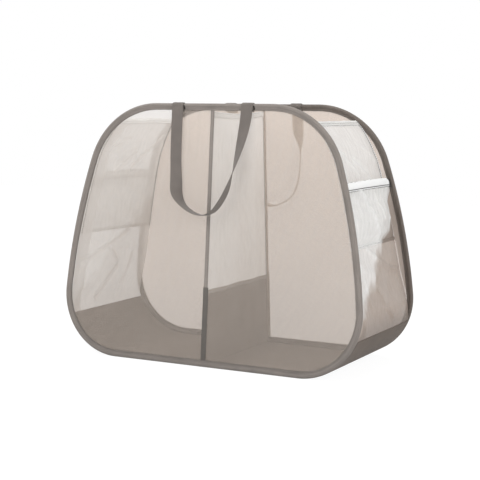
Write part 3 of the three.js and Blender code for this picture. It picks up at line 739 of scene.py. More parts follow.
# End panels.
NET_EDGE = BINDING_WIDTH - MESH_TUCK
NET_SLACK = 1.6 * MM
NET_TIED, NET_FREE = 20 * MM, 80 * MM
NET_TAPE_FREE = 70 * MM
NET_FOOT_FREE = 90 * MM
NET_BUMP = 110 * MM
NET_SHADE_BLUR = 4 * MM
NET_LOOKS = {"front": FRONT_NET, "back": SHADED_BACK_NET}
STITCH_INSET = 11 * MM
STITCH_OUT = 1.4 * MM
TAPE_STITCH_INSET = 1.6 * MM
TAPE_STEP = 2.5 * MM
TAPE_TUCK = 0.5 * MM
TAPE_WANDER = 0.35 * MM
TAPE_ROUGHNESS = 0.12 * MM
TAPE_UNDER = 0.2 * MM
PUCKER_BUMP = 7 * MM
PUCKER_RISE = 0.16 * MM
CORNER_PUCKER_RISE = 0.5 * MM
CORNER_STEEPNESS = 1.4
EDGE_WANDER = 0.5 * MM
LAP_FROM, LAP_TO = -14 * MM, 9 * MM
LAP_RISE = 0.6 * MM


def end_net(end):
    right, height = (values[:, None] for values in rim(np.linspace(FOOT_HALF, ARCS_END, 150), NET_EDGE))
    x = right * np.linspace(-1, 1, 241)
    free = ease(np.abs(x), LOWER_TAPE_WIDTH, NET_TAPE_FREE) * ease(right - np.abs(x), NET_TIED, NET_FREE)
    free *= ease(height, NET_TIED, NET_FOOT_FREE) * ease(PANEL_HEIGHT - height, NET_TIED, NET_FREE)
    slack = NET_SLACK * free * (0.6 + 0.6 * ripple(triples(x, 0, height), NET_BUMP, ENDS.index(end) + 1))
    points = on_panel(triples(x, slack, height), end)
    # Painted shade marks on the mesh beside the walls, below the band, stronger on the right; only the back
    # mesh shows them.
    beside_wall = read(BACK_WALL_INSETS, height / PANEL_HEIGHT) - NET_EDGE - right + np.abs(x)
    painted_shade = ease(beside_wall, -MM, 2 * MM) * ease(BAND_BOTTOM - height, -NET_SHADE_BLUR, NET_SHADE_BLUR)
    painted_shade *= np.where(points[..., 0] > 0, PAINTED_SHADE_BY_SIDE["right"], PAINTED_SHADE_BY_SIDE["left"])
    marks = np.stack([np.zeros_like(painted_shade), painted_shade], -1)
    cloth = np.stack(np.broadcast_arrays(x, height), -1)
    piece = sheet(f"{end}_net", points, NET_LOOKS[end], cloth, marks)
    dress(piece, end, "mesh", f"{end}_mesh_panel")


def binding_section():
    """Round the outside of the folded tape and back round its sleeve, as rows of (inset, outward)."""
    lip = [(13.3, 0.8), (13.5, 1.12), (13.38, 1.45), (13, 1.6), (12.4, 1.65), (11.7, 1.58), (11.35, 1.42)]
    flap = [(11, 1.3), (10.65, 1.42), (10.3, 1.6), (9.8, 1.68), (9.3, 1.74)]
    flap += [(8.7, 1.9), (8.1, 2.25), (7.5, 2.7)]
    face = [(inset * MM, outward * MM) for inset, outward in lip + flap]
    for angle in np.linspace(NOSE_MOUTH * 0.85, math.pi, 13):
        face.append((NOSE_RADIUS * (1 + math.cos(angle)), NOSE_RADIUS * math.sin(angle)))
    slot = [(13.1 * MM, SLOT_HALF * 0.95), (10 * MM, SLOT_HALF * 0.95)]
    for angle in np.linspace(math.asin(SLOT_HALF / SLEEVE_RADIUS), math.pi, 7):
        slot.append((NOSE_RADIUS + SLEEVE_RADIUS * math.cos(angle), SLEEVE_RADIUS * math.sin(angle)))
    outside = face + [(inset, -outward) for inset, outward in face[-2::-1]]
    inside = slot + [(inset, -outward) for inset, outward in slot[-2::-1]]
    return np.array(outside + inside[::-1])


def lip_places():
    """Where the two inner edges of the folded tape lie, as distances round its section."""
    section = binding_section()
    reach = reach_along(section)
    far_lip = np.argmin(np.hypot(*(section - section[0] * [1, -1]).T))
    return float(reach[0]), float(reach[far_lip])


BINDINGS = {
    "front": ribbed_tape("front_binding_tape", linear(138, 130, 124), edges=lip_places()),
    # The back binding is the same tape as the front; its darker colour is painted shade.
    "back": ribbed_tape("back_binding_tape", linear(112, 103, 96), edges=lip_places()),
}


def corner_share(distance):
    """1 in the middle of a panel's corners, 0 along its straighter sides."""
    from_foot = np.minimum(distance % ROUND, -distance % ROUND)
    low_end = rim_distance(BOTTOM_CORNER_RADIUS)
    high_start = rim_distance(PANEL_HEIGHT - TOP_CORNER_RADIUS)
    low = arch((from_foot - FOOT_HALF) / (low_end - FOOT_HALF), CORNER_STEEPNESS)
    high = arch((from_foot - high_start) / (ARCS_END - high_start), CORNER_STEEPNESS)
    return np.clip(low + high, 0, 1)


def binding_points(end, distance, inset, outward):
    """Points of a binding, with the puckers that its stitches pull and the lap of the tape's ends."""
    seed = 10 * ENDS.index(end)
    line = triples(distance, 0, 0)
    rise = PUCKER_RISE + (CORNER_PUCKER_RISE - PUCKER_RISE) * corner_share(distance)
    pucker = rise * ripple(line, PUCKER_BUMP, 3 + seed)
    wander = EDGE_WANDER * ripple(line, 25 * MM, 5 + seed)
    flat = ease(inset, FLAP_START, STITCH_INSET)
    from_middle = (distance + ROUND / 2) % ROUND - ROUND / 2
    lap = ease(from_middle, LAP_FROM - MM, LAP_FROM) * (1 - ease(from_middle, LAP_TO, LAP_TO + MM))
    x, up = rim(distance, inset + wander * flat)
    lapped = LAP_RISE * lap * ease(outward, 0, FLAP_HALF)
    return on_panel(triples(x, outward + pucker * flat + lapped, up), end)


def end_binding(end):
    section = binding_section()
    distance = np.linspace(0, ROUND, 720, endpoint=False)[:, None]
    rings = binding_points(end, distance, section[None, :, 0], section[None, :, 1])
    piece = sweep(f"{end}_binding_tape", rings, BINDINGS[end], looped=True)
    dress(piece, end, "binding", f"{end}_binding")
    around = np.linspace(0, ROUND, 900)
    rows = []
    for face in (1, -1):
        path = binding_points(end, around, STITCH_INSET, face * STITCH_OUT)
        rows.append((path, turned_to_panel([0, face, 0], end)))
    stitches(f"{end}_binding_stitches", end, rows, "binding")


def seam_tape(end, level, width, low, high, look):
    """Flat tape on the outside of the net over the divider's seam, with stitches near both edges."""
    up = np.linspace(low, high, int((high - low) / TAPE_STEP))[:, None]
    share = np.linspace(-1, 1, 11)[None]
    seed = ENDS.index(end) + 20
    line = triples(0, 0, up)
    wander = TAPE_WANDER * ripple(line, 45 * MM, seed)
    x = share * width / 2 * (1 + 0.03 * ripple(line, 12 * MM, seed + 1)) + wander
    swell = SEAM_TAPE_THICKNESS * (0.35 + 0.65 * (1 - share**8))
    swell = swell + TAPE_ROUGHNESS * ripple(line, 6 * MM, seed + 2)
    under, over = (on_panel(triples(x, SLOT_HALF + out, up), end) for out in (-TAPE_UNDER, swell))
    piece = slab(f"{end}_{level}_tape", under, over, look)
    dress(piece, end, "binding", f"{end}_{level}_seam_tape")
    rows = []
    for side in SIDES.values():
        beside = wander[:, 0] + side * (width / 2 - TAPE_STITCH_INSET)
        path = on_panel(triples(beside, SLOT_HALF + SEAM_TAPE_THICKNESS, up[:, 0]), end)
        rows.append((path, turned_to_panel([0, 1, 0], end)))
    stitches(f"{end}_{level}_tape_stitches", end, rows, "tape")


# Handles. Each row is a share of half the spread, of the drop and of a quarter turn of twist.
LOOP_SHARES = [
    (-1, 0, 0), (-1, 0.18, 0), (-1, 0.36, 0), (-0.985, 0.54, 0), (-0.94, 0.69, 0.14),
    (-0.85, 0.81, 0.58), (-0.68, 0.9, 0.92), (-0.4, 0.97, 1), (-0.06, 1, 1), (0.22, 0.965, 1),
    (0.44, 0.875, 1), (0.61, 0.76, 0.94), (0.73, 0.62, 0.72), (0.83, 0.46, 0.45), (0.92, 0.29, 0.2),
    (0.98, 0.13, 0.04), (1, 0, 0),
]
# The back handle is twisted the other way, between two shares of its drop, and fully from a third one down.
BACK_TURN_SHARES = (0.2, 0.48)
BACK_TURN = math.radians(64)
FULL_TURN_SHARE = 0.8
TOP_STEPS = 9
# Heights above and below the pivot where the webbing would bend; the points worked out from them are not
# used.
BEND_RISE, BEND_DROP = 0.5 * MM, 6 * MM
WEB_MIDDLE = NOSE_RADIUS + CLEARANCE + WEB_THICKNESS / 2
WRAP_FROM = math.asin(2 * WEB_THICKNESS / PIVOT_OUT)
WRAP_TO = 3 / 2 * math.pi - NOSE_MOUTH
WRAP_STEPS = 22
# Rows of stitches over a sewn end: how far down the inner face, and at which angles round the nose.
SEWN_DROPS = (10.5 * MM, 13.5 * MM)
SEWN_ANGLES = (math.radians(75), math.radians(130))
SEWN_MARGIN = 2.5 * MM
BARTACK_LIFT = 0.25 * MM


def smooth_route(knots, steps):
    """A centripetal curve through knots, evenly stepped from knot to knot."""
    knots = np.vstack([2 * knots[0] - knots[1], knots, 2 * knots[-1] - knots[-2]])
    gaps = np.sqrt(np.linalg.norm(np.diff(knots, axis=0), axis=-1))
    place = np.linspace(0, len(knots) - 3, steps)
    first = np.minimum(place.astype(int), len(knots) - 4)
    share = (place - first)[:, None]
    before, start, stop, after = (knots[first + i] for i in range(4))
    gap_before, gap, gap_after = (gaps[first + i][:, None] for i in range(3))
    leave = (start - before) / gap_before - (stop - before) / (gap_before + gap) + (stop - start) / gap
    arrive = (stop - start) / gap - (after - start) / (gap + gap_after) + (after - stop) / gap_after
    leave, arrive = leave * gap, arrive * gap
    squared, cubed = share**2, share**3
    return (
        start * (2 * cubed - 3 * squared + 1)
        + leave * (cubed - 2 * squared + share)
        + stop * (3 * squared - 2 * cubed)
        + arrive * (cubed - squared)
    )


def over_nose(radius, angle):
    """(outward, up) on a circle round the wire, from the outer face over the top."""
    return np.stack([radius * np.cos(angle), NOSE_UP + radius * np.sin(angle)], -1)


def end_handle(end):
    knots = np.array(LOOP_SHARES) * [HANDLE_SPREAD / 2 / MM, HANDLE_DROP / MM, 1]
    route = smooth_route(knots, 260)
    heading = unit(np.gradient(route[:, :2], axis=0) * [1, -1])
    turn = np.clip(route[:, 2], 0, 1) * math.pi / 2
    if end == "back":
        drop = route[:, 1] * MM / HANDLE_DROP
        most = BACK_TURN + (math.pi / 2 - BACK_TURN) * ease(drop, FULL_TURN_SHARE, 1)
        turn = -ease(drop, *BACK_TURN_SHARES) * most
    cos, sin = np.cos(turn), np.sin(turn)
    out = WEB_MIDDLE + WEB_WIDTH / 2 * np.abs(sin)
    centres = np.stack([route[:, 0] * MM, out, PIVOT_UP - route[:, 1] * MM], -1)
    across = np.stack([-heading[:, 1] * cos, -sin, heading[:, 0] * cos], -1)
    through = np.stack([-heading[:, 1] * sin, cos, heading[:, 0] * sin], -1)
    angle = np.linspace(WRAP_FROM * 1.08, WRAP_FROM * 0.08, TOP_STEPS)
    risen = over_nose(WEB_MIDDLE, angle).T
    left, right = (triples(side * HANDLE_SPREAD / 2, *risen) for side in SIDES.values())
    lean = triples(0, np.cos(angle), np.sin(angle))
    centres = np.concatenate([left, centres, right[::-1]])
    across = np.pad(across, ((TOP_STEPS, TOP_STEPS), (0, 0)), "edge")
    through = np.concatenate([lean, through, lean[::-1]])
    piece = strap(f"{end}_handle_strap", end, centres, across, through)
    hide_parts(f"{end}_handle")
    start, stop = on_panel([(0, PIVOT_OUT, PIVOT_UP + BEND_RISE), (0, PIVOT_OUT, PIVOT_UP - BEND_DROP)], end)
    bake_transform(piece)


def wrap_path(x, offset, angles, steps, face, drop, down_steps):
    """Points at x over the binding's nose, between two angles, and on down a face of its flap to a drop.
    They are offset from the tape. Beside them are the directions away from it."""
    angle = np.linspace(*angles, steps)
    over = triples(x, *over_nose(NOSE_RADIUS + offset, angle).T)
    height = np.linspace(PANEL_HEIGHT - FLAP_START, PANEL_HEIGHT - drop, down_steps)
    down = triples(x, face * (FLAP_HALF + offset), height)
    away = [triples(0, np.cos(angle), np.sin(angle)), np.broadcast_to([0, face, 0], down.shape)]
    return np.vstack([over, down]), np.vstack(away)


def sewn_end(end, side):
    """The end of a handle's webbing, over the top of the binding and down its inner face."""
    x = SIDES[side] * HANDLE_SPREAD / 2
    offset = CLEARANCE + WEB_THICKNESS / 2
    centres, through = wrap_path(x, offset, (WRAP_FROM, WRAP_TO), WRAP_STEPS, -1, WRAP_TUCK, 8)
    bend = slice(WRAP_STEPS - 1, WRAP_STEPS + 1)
    through[bend] = unit(through[bend].mean(0))
    across = np.broadcast_to([1, 0, 0], centres.shape)
    piece = strap(f"{end}_{side}_sewn_end", end, centres, across, through)
    dress(piece, end, "webbing", f"{end}_{side}_handle_wrap")
    clear = CLEARANCE + WEB_THICKNESS
    lines = []
    for angle in SEWN_ANGLES:
        lines.append((over_nose(NOSE_RADIUS + clear, angle), (0, math.cos(angle), math.sin(angle))))
    lines += [((-FLAP_HALF - clear, PANEL_HEIGHT - drop), (0, -1, 0)) for drop in SEWN_DROPS]
    half = WEB_WIDTH / 2 - SEWN_MARGIN
    rows = []
    for place, away in lines:
        path = [(x - half, *place), (x + half, *place)]
        rows.append((on_panel(path, end), turned_to_panel(away, end)))
    stitches(f"{end}_{side}_end_stitches", end, rows, "handle_end")


def edge_bar(end, side):
    """Dark bar of close stitches on the binding beside a handle's end."""
    x = SIDES[side] * HANDLE_SPREAD / 2 + WEB_WIDTH / 2 + CLEARANCE + BARTACK_WIDTH / 2
    path, away = wrap_path(x, BARTACK_LIFT, (0, NOSE_MOUTH - math.pi / 2), 12, 1, BARTACK_LENGTH, 6)
    rows = [(on_panel(path, end), turned_to_panel(away, end))]
    stitches(f"{end}_{side}_edge_bar", end, rows, "bartack", math.pi / 2, [f"{end}_{side}_bartack"])


for end in ENDS:
    end_net(end)
    end_binding(end)
    edge, joint = BINDING_WIDTH - TAPE_TUCK, LOWER_DIVIDER_HEIGHT + LOWER_TAPE_OVERLAP
    seam_tape(end, "lower", LOWER_TAPE_WIDTH, edge, joint, LOWER_SEAM_TAPE)
    seam_tape(end, "upper", UPPER_TAPE_WIDTH, joint, PANEL_HEIGHT - edge, SEAM_TAPE)
    end_handle(end)
    for side in SIDES:
        sewn_end(end, side)
        edge_bar(end, side)


# Side walls. Their folds run from one point to another, as shares of the depth and of the height.
FOLD_RISE = 6 * MM
FOLD_MARGIN = 24 * MM
WALL_FOOT = float(rim(FOOT_HALF + BASE_TURN_UP)[1])
FOLD_SHARES = [
    ((0.05, 0.88), (0.5, 0.75), -0.7, 0.05), ((0.55, 0.9), (0.95, 0.78), 0.7, 0.05),
    ((0.1, 0.46), (0.88, 0.16), 1, 0.05), ((0.15, 0.3), (0.5, 0.14), -0.6, 0.06),
    ((0.9, 0.45), (0.6, 0.25), -0.7, 0.06),
]
# Finer creases on top of them, narrower and sharper.
CREASE_RISE = 3.2 * MM
CREASE_SHARES = [
    ((0.04, 0.885), (0.24, 0.83), 1, 0.012), ((0.24, 0.83), (0.45, 0.74), 1, 0.013),
    ((0.42, 0.8), (0.7, 0.73), 0.9, 0.012), ((0.46, 0.82), (0.68, 0.76), -0.8, 0.016),
    ((0.62, 0.87), (0.92, 0.8), 0.6, 0.01), ((0.3, 0.48), (0.56, 0.415), 1, 0.014),
    ((0.56, 0.415), (0.92, 0.36), 1, 0.012), ((0.92, 0.36), (0.95, 0.28), 0.8, 0.012),
    ((0.56, 0.415), (0.4, 0.34), -0.8, 0.014), ((0.4, 0.315), (0.66, 0.19), 0.9, 0.012),
    ((0.2, 0.36), (0.34, 0.24), 0.7, 0.012),
]
POCKET_CREASE_SHARES = [((0.16, 0.72), (0.58, 0.46), 1, 0.016), ((0.5, 0.7), (0.62, 0.58), 0.6, 0.012)]
WALL_RIPPLE = 1.0 * MM
# A wall's front edge is doubled. Under a line that rises from front to back, shade is painted on the cloth.
EDGE_DOUBLED = 42 * MM
SHADE_LINE_FOOT = 85 * MM
SHADE_LINE_CLIMB = 0.87
SHADE_LINE_BLUR = 18 * MM
# Heights between which the painted shade grows darker towards the foot.
DEEP_HEIGHTS = (75 * MM, 130 * MM)
CREASE_DENSITY = 0.75
JOINT_DENSITY = 0.8
# Between the edge of a cloth and what it is sewn to, and the height over which the one meets the other.
CLOTH_GAP = 0.15 * MM
EDGE_BLEND = 2 * MM


def wall_inset(up, share, side):
    """How far in from the outline a wall is sewn at a height, and at shares of the depth in between."""
    at_front, at_back = (read(table, up / PANEL_HEIGHT) for table in (FRONT_WALL_INSETS, BACK_WALL_INSETS))
    back_share = share if SIDES[side] > 0 else 1 - share
    return at_front + (at_back - at_front) * back_share


def folds(table, share, up):
    """The rise of each fold of a table, added up, at a share of the depth and a height."""
    rise = np.zeros(np.broadcast_shapes(np.shape(share), np.shape(up)))
    height = up / PANEL_HEIGHT
    for start, stop, size, breadth in table:
        run = np.subtract(stop, start)
        way = np.clip(((share - start[0]) * run[0] + (height - start[1]) * run[1]) / (run @ run), 0, 1)
        off = np.hypot(share - start[0] - run[0] * way, height - start[1] - run[1] * way) / breadth
        rise += size * np.exp(-(off**2))
    return rise


def wall_fold(share, up):
    """How far a side wall's main folds stand out."""
    beside_pocket = np.maximum(POCKET_BOTTOM - FOLD_MARGIN - up, up - BAND_TOP - FOLD_MARGIN) / FOLD_MARGIN
    under_hem = (HEM_BOTTOM - FOLD_MARGIN - up) / FOLD_MARGIN
    calm = np.minimum(np.minimum(beside_pocket, under_hem), (up - WALL_FOOT) / FOLD_MARGIN)
    return FOLD_RISE * folds(FOLD_SHARES, share, up) * arch(share, 2) * np.clip(calm, 0, 1)


def edge_space(inset):
    """Room beside the middle of the mesh, so that a cloth meets the binding, or the mesh inside it."""
    past = ease(inset, BINDING_WIDTH, BINDING_WIDTH + EDGE_BLEND)
    return CLOTH_GAP + binding_half(inset) * (1 - past) + MESH_THICKNESS / 2 * past


def between_ends(up, share, side, offset=0.0):
    """Room beside both meshes for a cloth sewn at a wall's seams, offset inward, at shares of the depth."""
    first, last = (edge_space(wall_inset(up, end, side) + offset) for end in (0.0, 1.0))
    return first + (last - first) * share


def wall_points(side, distance, share, out, wrinkled=1.0):
    """Points on a side wall at distances from the end of the foot, out from its outer face."""
    distance, share = np.asarray(distance)[:, None] + FOOT_HALF, np.asarray(share)[None]
    up = rim(distance)[1]
    seed = 40 + SIDES[side]
    small = WALL_RIPPLE * ripple(triples(distance, share * BASE_DEPTH, 0), 60 * MM, seed, 3)
    fine = CREASE_RISE * folds(CREASE_SHARES, share, up) + small
    calm = arch(share, 3) * np.clip((up - WALL_FOOT) / FOLD_MARGIN, 0, 1)
    stand = wall_fold(share, up) + fine * calm * wrinkled
    inset = wall_inset(up, share, side) - stand - out
    return flank(distance, inset, share, between_ends(up, share, side), SIDES[side])


def normals(points):
    """Directions square to a grid of points."""
    return unit(np.cross(np.gradient(points, axis=1), np.gradient(points, axis=0)))


def away_from_middle(points, directions):
    """Directions turned so that they point away from the hamper's middle."""
    facing = np.sign((points[..., 0] * directions[..., 0]).sum())
    return directions * facing


COLUMNS = np.linspace(0, 1, 131)
WALL_LOW = BASE_TURN_UP - 2 * MM
PIPING_RADIUS = 1.4 * MM
PIPING_SIDES = 12
PIPING_LIFT = 0.3 * MM
SEAM_LIFT, INNER_SEAM_DROP = 0.2 * MM, 0.8 * MM
HEM_PULL = 0.35 * MM
PIPING_STITCH_GAP = 4 * MM


def from_foot(height):
    """How far from the end of the foot a height lies, round the outline."""
    return rim_distance(height) - FOOT_HALF


def cloth_marks(side, points, creases, edge=0.0):
    """How dense a side's cloth is and its painted shade. Denser in creases and within edge of the front."""
    behind_front = points[..., 1] + BASE_DEPTH / 2 - points[..., 2] * math.tan(PANEL_LEAN)
    doubled = 1 - ease(behind_front, edge - 2 * MM, edge) if edge else 0.0
    # Painted shade: under a blurred line that rises from front to back, and darker near the foot.
    line = SHADE_LINE_FOOT + SHADE_LINE_CLIMB * (points[..., 1] + BASE_DEPTH / 2) - points[..., 2]
    painted_shade = ease(line + SHADE_LINE_BLUR * ripple(points, 30 * MM, 33), -SHADE_LINE_BLUR, SHADE_LINE_BLUR) * PAINTED_SHADE_SHARE
    painted_shade += (1 - PAINTED_SHADE_SHARE) * (1 - ease(points[..., 2], *DEEP_HEIGHTS))
    dense = np.clip(np.maximum(doubled, creases * CREASE_DENSITY), 0, 1)
    return np.stack([dense, painted_shade * PAINTED_SHADE_BY_SIDE[side]], -1)


def side_wall(side):
    rows = np.linspace(WALL_LOW, from_foot(HEM_BOTTOM + MM), 190)
    points = wall_points(side, rows, COLUMNS, WALL_THICKNESS / 2)
    up = rim(rows[:, None] + FOOT_HALF)[1]
    creases = np.abs(folds(CREASE_SHARES, COLUMNS[None], up))
    marks = cloth_marks(side, points, creases, EDGE_DOUBLED)
    piece = sheet(f"{side}_wall_cloth", points, WALL_CLOTH, marks=marks)
    dress(piece, "between", "sheer_cloth", f"{side}_side_wall")


def wall_hem(side):
    """The wall's top edge, folded over twice and sewn."""
    share = np.linspace(0, 1, 15)
    rows = from_foot(HEM_BOTTOM) + share * (from_foot(HEM_TOP) - from_foot(HEM_BOTTOM))
    swell = np.sqrt(np.clip(1 - np.abs(2 * share - 1) ** 6, 0.02, 1)) * (1 + 0.25 * share)
    swell -= 0.45 * np.exp(-(((share - 0.5) / 0.06) ** 2))
    half = swell[:, None] * HEM_THICKNESS / 2
    pull = HEM_PULL * ripple(triples(*[COLUMNS * BASE_DEPTH] * 3), 9 * MM, 60 + SIDES[side])
    middle = WALL_THICKNESS / 2 + pull * np.exp(-(((share - 0.5) / 0.4) ** 2))[:, None]
    inner = wall_points(side, rows, COLUMNS, middle - half)
    outer = wall_points(side, rows, COLUMNS, middle + half)
    piece = slab(f"{side}_wall_top_hem", inner, outer, HEM_CLOTH)
    dress(piece, "between", "white_tape", f"{side}_side_wall_hem")
    rows = []
    for face, facing in ((inner, -1), (outer, 1)):
        away = away_from_middle(face, normals(face)) * facing
        rows += [(face[line], away[line]) for line in (1, 7)]
    stitches(f"{side}_wall_hem_stitches", "between", rows, "wall_hem")


def end_share(side, end):
    """Where along a wall an end is: 0 or 1."""
    return 0.0 if (end == "front") == (side == "right") else 1.0


def wall_piping(side):
    """White piping in the seams of a wall with the two panels, and the dark stitches beside it."""
    rows = np.linspace(from_foot(POCKET_BOTTOM), from_foot(HEM_TOP), 180)
    for end in ENDS:
        edge = end_share(side, end)
        inward = np.array([edge, abs(edge - PIPING_STITCH_GAP / BASE_DEPTH)])
        points = wall_points(side, rows, inward, PIPING_LIFT, wrinkled=0.0)
        centres, beside = points[:, 0], unit(points[:, 1] - points[:, 0])
        centres = centres + beside * PIPING_RADIUS * 1.1
        ahead = unit(np.gradient(centres, axis=0))
        above = unit(np.cross(ahead, beside))
        turn = circle(PIPING_SIDES)
        wobble = 1 + 0.12 * ripple(centres, 14 * MM, 70)[:, None, None]
        cos, sin = np.cos(turn)[None, :, None], np.sin(turn)[None, :, None]
        rings = centres[:, None] + PIPING_RADIUS * wobble * (beside[:, None] * cos + above[:, None] * sin)
        piece = sweep(f"{side}_{end}_piping", rings, WHITE_TAPE)
        dress(piece, end, "white_tape")
        away = away_from_middle(points[:, 1], above)
        for name, out, facing in (("seam", SEAM_LIFT, away), ("inner_seam", -INNER_SEAM_DROP, -away)):
            rows_beside = [(points[:, 1] + away * out, facing)]
            stitches(f"{side}_{end}_{name}_stitches", end, rows_beside, name)


# Pockets: sewn at the foot and sides, fullest below the middle, gathered at the band.
GATHER_HEIGHT = 2.4 * MM
GATHER_COUNT = 9
BOW_STEEPNESS = 1.4
BULGE_SHARES = [(0, 0), (0.15, 0.6), (0.4, 1), (0.75, 0.85), (1, 1)]
LIFT_START_SHARE = 0.7
PLEAT_RISE = 2.6 * MM
PLEAT_BUMP = 9 * MM
PLEAT_STRETCH = 28 * MM
POCKET_RIPPLE = 2.2 * MM
BAND_COLUMNS = np.linspace(0, 1, 241)
BAND_END_SHARE = 0.4
BAND_TAPER = 3.5
BAND_PUCKER_SHARE = 0.16
BAND_SHIFT = 0.5 * MM
TACK_LIFT = 1.4 * MM


def pocket_stand(share, row, inset):
    """How far a pocket stands off a wall with that inset, at shares of its width and height."""
    full = POCKET_BULGE + (BAND_BOW - POCKET_BULGE) * ease(row, 0.5, 1)
    bow = full * read(BULGE_SHARES, row) * arch(share, BOW_STEEPNESS)
    gather = GATHER_HEIGHT * row * np.sin(np.pi * share) * np.sin(2 * np.pi * GATHER_COUNT * share)
    lift = (inset - WALL_THICKNESS - BAND_REACH) * ease(row, LIFT_START_SHARE, 1)
    return SEWING_GAP + bow + gather * np.minimum(bow / BAND_BOW, 1) + lift


def pocket(side):
    low, high = from_foot(POCKET_SEAM_TOP), from_foot(BAND_BOTTOM) + 2 * MM
    row = np.linspace(0, 1, 72)[:, None]
    share = BAND_COLUMNS[None]
    seed = 80 + SIDES[side]
    spread = triples(share * BASE_DEPTH, row * PLEAT_STRETCH, 0)
    pleats = PLEAT_RISE * ripple(spread, PLEAT_BUMP, seed) * row**1.3 * arch(share, 4)
    soft = POCKET_RIPPLE * ripple(spread * [1, 3, 1], 45 * MM, seed + 3)
    soft = soft * arch(share, 2) * np.sin(np.pi * row)
    distance = (low + row * (high - low)) + FOOT_HALF
    up = rim(distance)[1]
    sewn = wall_inset(up, share, side)
    creases = folds(POCKET_CREASE_SHARES, share if side == "right" else 1 - share, up)
    stand = pocket_stand(share, row, sewn) + pleats + soft + 2 * CREASE_RISE * creases * arch(share, 3)
    inset = sewn - WALL_THICKNESS - np.maximum(stand, SEWING_GAP)
    points = flank(distance, inset, share, between_ends(up, share, side, -WALL_THICKNESS), SIDES[side])
    gathers = np.clip(pleats / PLEAT_RISE, 0, 1) * row
    marks = cloth_marks(side, points, np.maximum(creases, gathers))
    piece = sheet(f"{side}_pocket_cloth", points, POCKET_CLOTH, marks=marks)
    dress(piece, "between", "sheer_cloth", f"{side}_pocket")


def pocket_joint(side):
    """The seam that holds a pocket's bottom edge to the wall."""
    rows = np.linspace(from_foot(POCKET_BOTTOM), from_foot(POCKET_SEAM_TOP) + MM, 7)
    swell = np.sqrt(np.clip(1 - np.linspace(-1, 1, 7) ** 4, 0.05, 1))[:, None]
    near = WALL_THICKNESS + SEWING_GAP * 0.2
    heights = (0 * swell, POCKET_SEAM_THICKNESS * swell)
    inner, outer = (wall_points(side, rows, COLUMNS, near + out, wrinkled=0.0) for out in heights)
    marks = cloth_marks(side, outer, np.full(outer.shape[:2], JOINT_DENSITY))
    piece = slab(f"{side}_pocket_joint", inner, outer, POCKET_CLOTH, marks)
    dress(piece, "between", "white_tape", f"{side}_pocket_seam")
    away = away_from_middle(outer, normals(outer))
    stitches(f"{side}_pocket_stitches", "between", [(outer[3], away[3])], "pocket")


def band_section():
    """Round the elastic band, as rows of (through, along the wall): a roll over a thin gathered strip."""
    points = []
    for angle in np.linspace(-0.36 * math.pi, 1.36 * math.pi, 21):
        points.append((BAND_THICKNESS / 2 * math.cos(angle), 0.58 * math.sin(angle) * BAND_HEIGHT * 0.72))
    roll = [(through, along + 0.16 * BAND_HEIGHT) for through, along in points]
    low = min(along for _, along in roll)
    strip = [(-0.9 * MM, low - 0.6 * MM), (-1.3 * MM, low - 3.4 * MM), (0, low - 4 * MM)]
    strip += [(1.3 * MM, low - 3.4 * MM), (0.9 * MM, low - 0.6 * MM)]
    return np.array(roll + strip)


def elastic(side):
    middle = rim_distance((BAND_BOTTOM + BAND_TOP) / 2)
    flat = BAND_REACH - BAND_THICKNESS / 2
    space = edge_space(flat) + TACK_LENGTH / 2
    share = BAND_COLUMNS[:, None]
    section = band_section()[None]
    line = triples(BAND_COLUMNS * BASE_DEPTH, 0, 0)
    seed = 90 + SIDES[side]
    girth = BAND_END_SHARE + (1 - BAND_END_SHARE) * arch(share, BAND_TAPER)
    pinch = girth * (1 + BAND_PUCKER_SHARE * ripple(line, 5 * MM, seed)[:, None])
    shift = BAND_SHIFT * ripple(line, 11 * MM, seed + 1)[:, None]
    bowed = flat - BAND_BOW * arch(share, BOW_STEEPNESS) - shift
    inset = bowed - section[..., 0] * pinch
    rings = flank(middle + section[..., 1] * (0.4 + 0.6 * pinch), inset, share, space, SIDES[side])
    piece = sweep(f"{side}_elastic", rings, WHITE_TAPE)
    dress(piece, "between", "white_tape", f"{side}_pocket_band")
    low, high = section[0, :, 1].min(), section[0, :, 1].max()
    outer_rows = [(low + 4 * MM, 1.5 * MM), (low + 3.5 * MM, 1.3 * MM), (low + 0.5 * MM, 1.2 * MM)]
    inner_rows = [(low + 1.5 * MM, -1.5 * MM), (high - MM, -BAND_THICKNESS / 2 * 0.8)]
    for name, rows, facing in (("elastic", outer_rows, 1), ("elastic_inner", inner_rows, -1)):
        paths = []
        for along, through in rows:
            path = flank(middle + along, bowed - through, share, space, SIDES[side])
            paths.append((path[:, 0], [facing * SIDES[side], 0, 0]))
        stitches(f"{side}_{name}_stitches", "between", paths, name)


def band_tack(side, end):
    """A short bar of dark stitches at one end of a band."""
    low, high = (rim_distance(BAND_BOTTOM + share * BAND_HEIGHT) for share in (0.05, 0.95))
    inset = BAND_REACH - TACK_THICKNESS - TACK_LIFT
    space = edge_space(inset) + TACK_LENGTH
    path = flank(np.linspace(low, high, 8), inset, end_share(side, end), space, SIDES[side])
    name, node = f"{side}_{end}_tack_thread", f"{side}_{end}_band_tack"
    stitches(name, end, [(path, [SIDES[side], 0, 0])], "tack", math.pi / 2, [node])


for side in SIDES:
    side_wall(side)
    wall_hem(side)
    wall_piping(side)
    pocket(side)
    pocket_joint(side)
    elastic(side)
    for end in ENDS:
        band_tack(side, end)


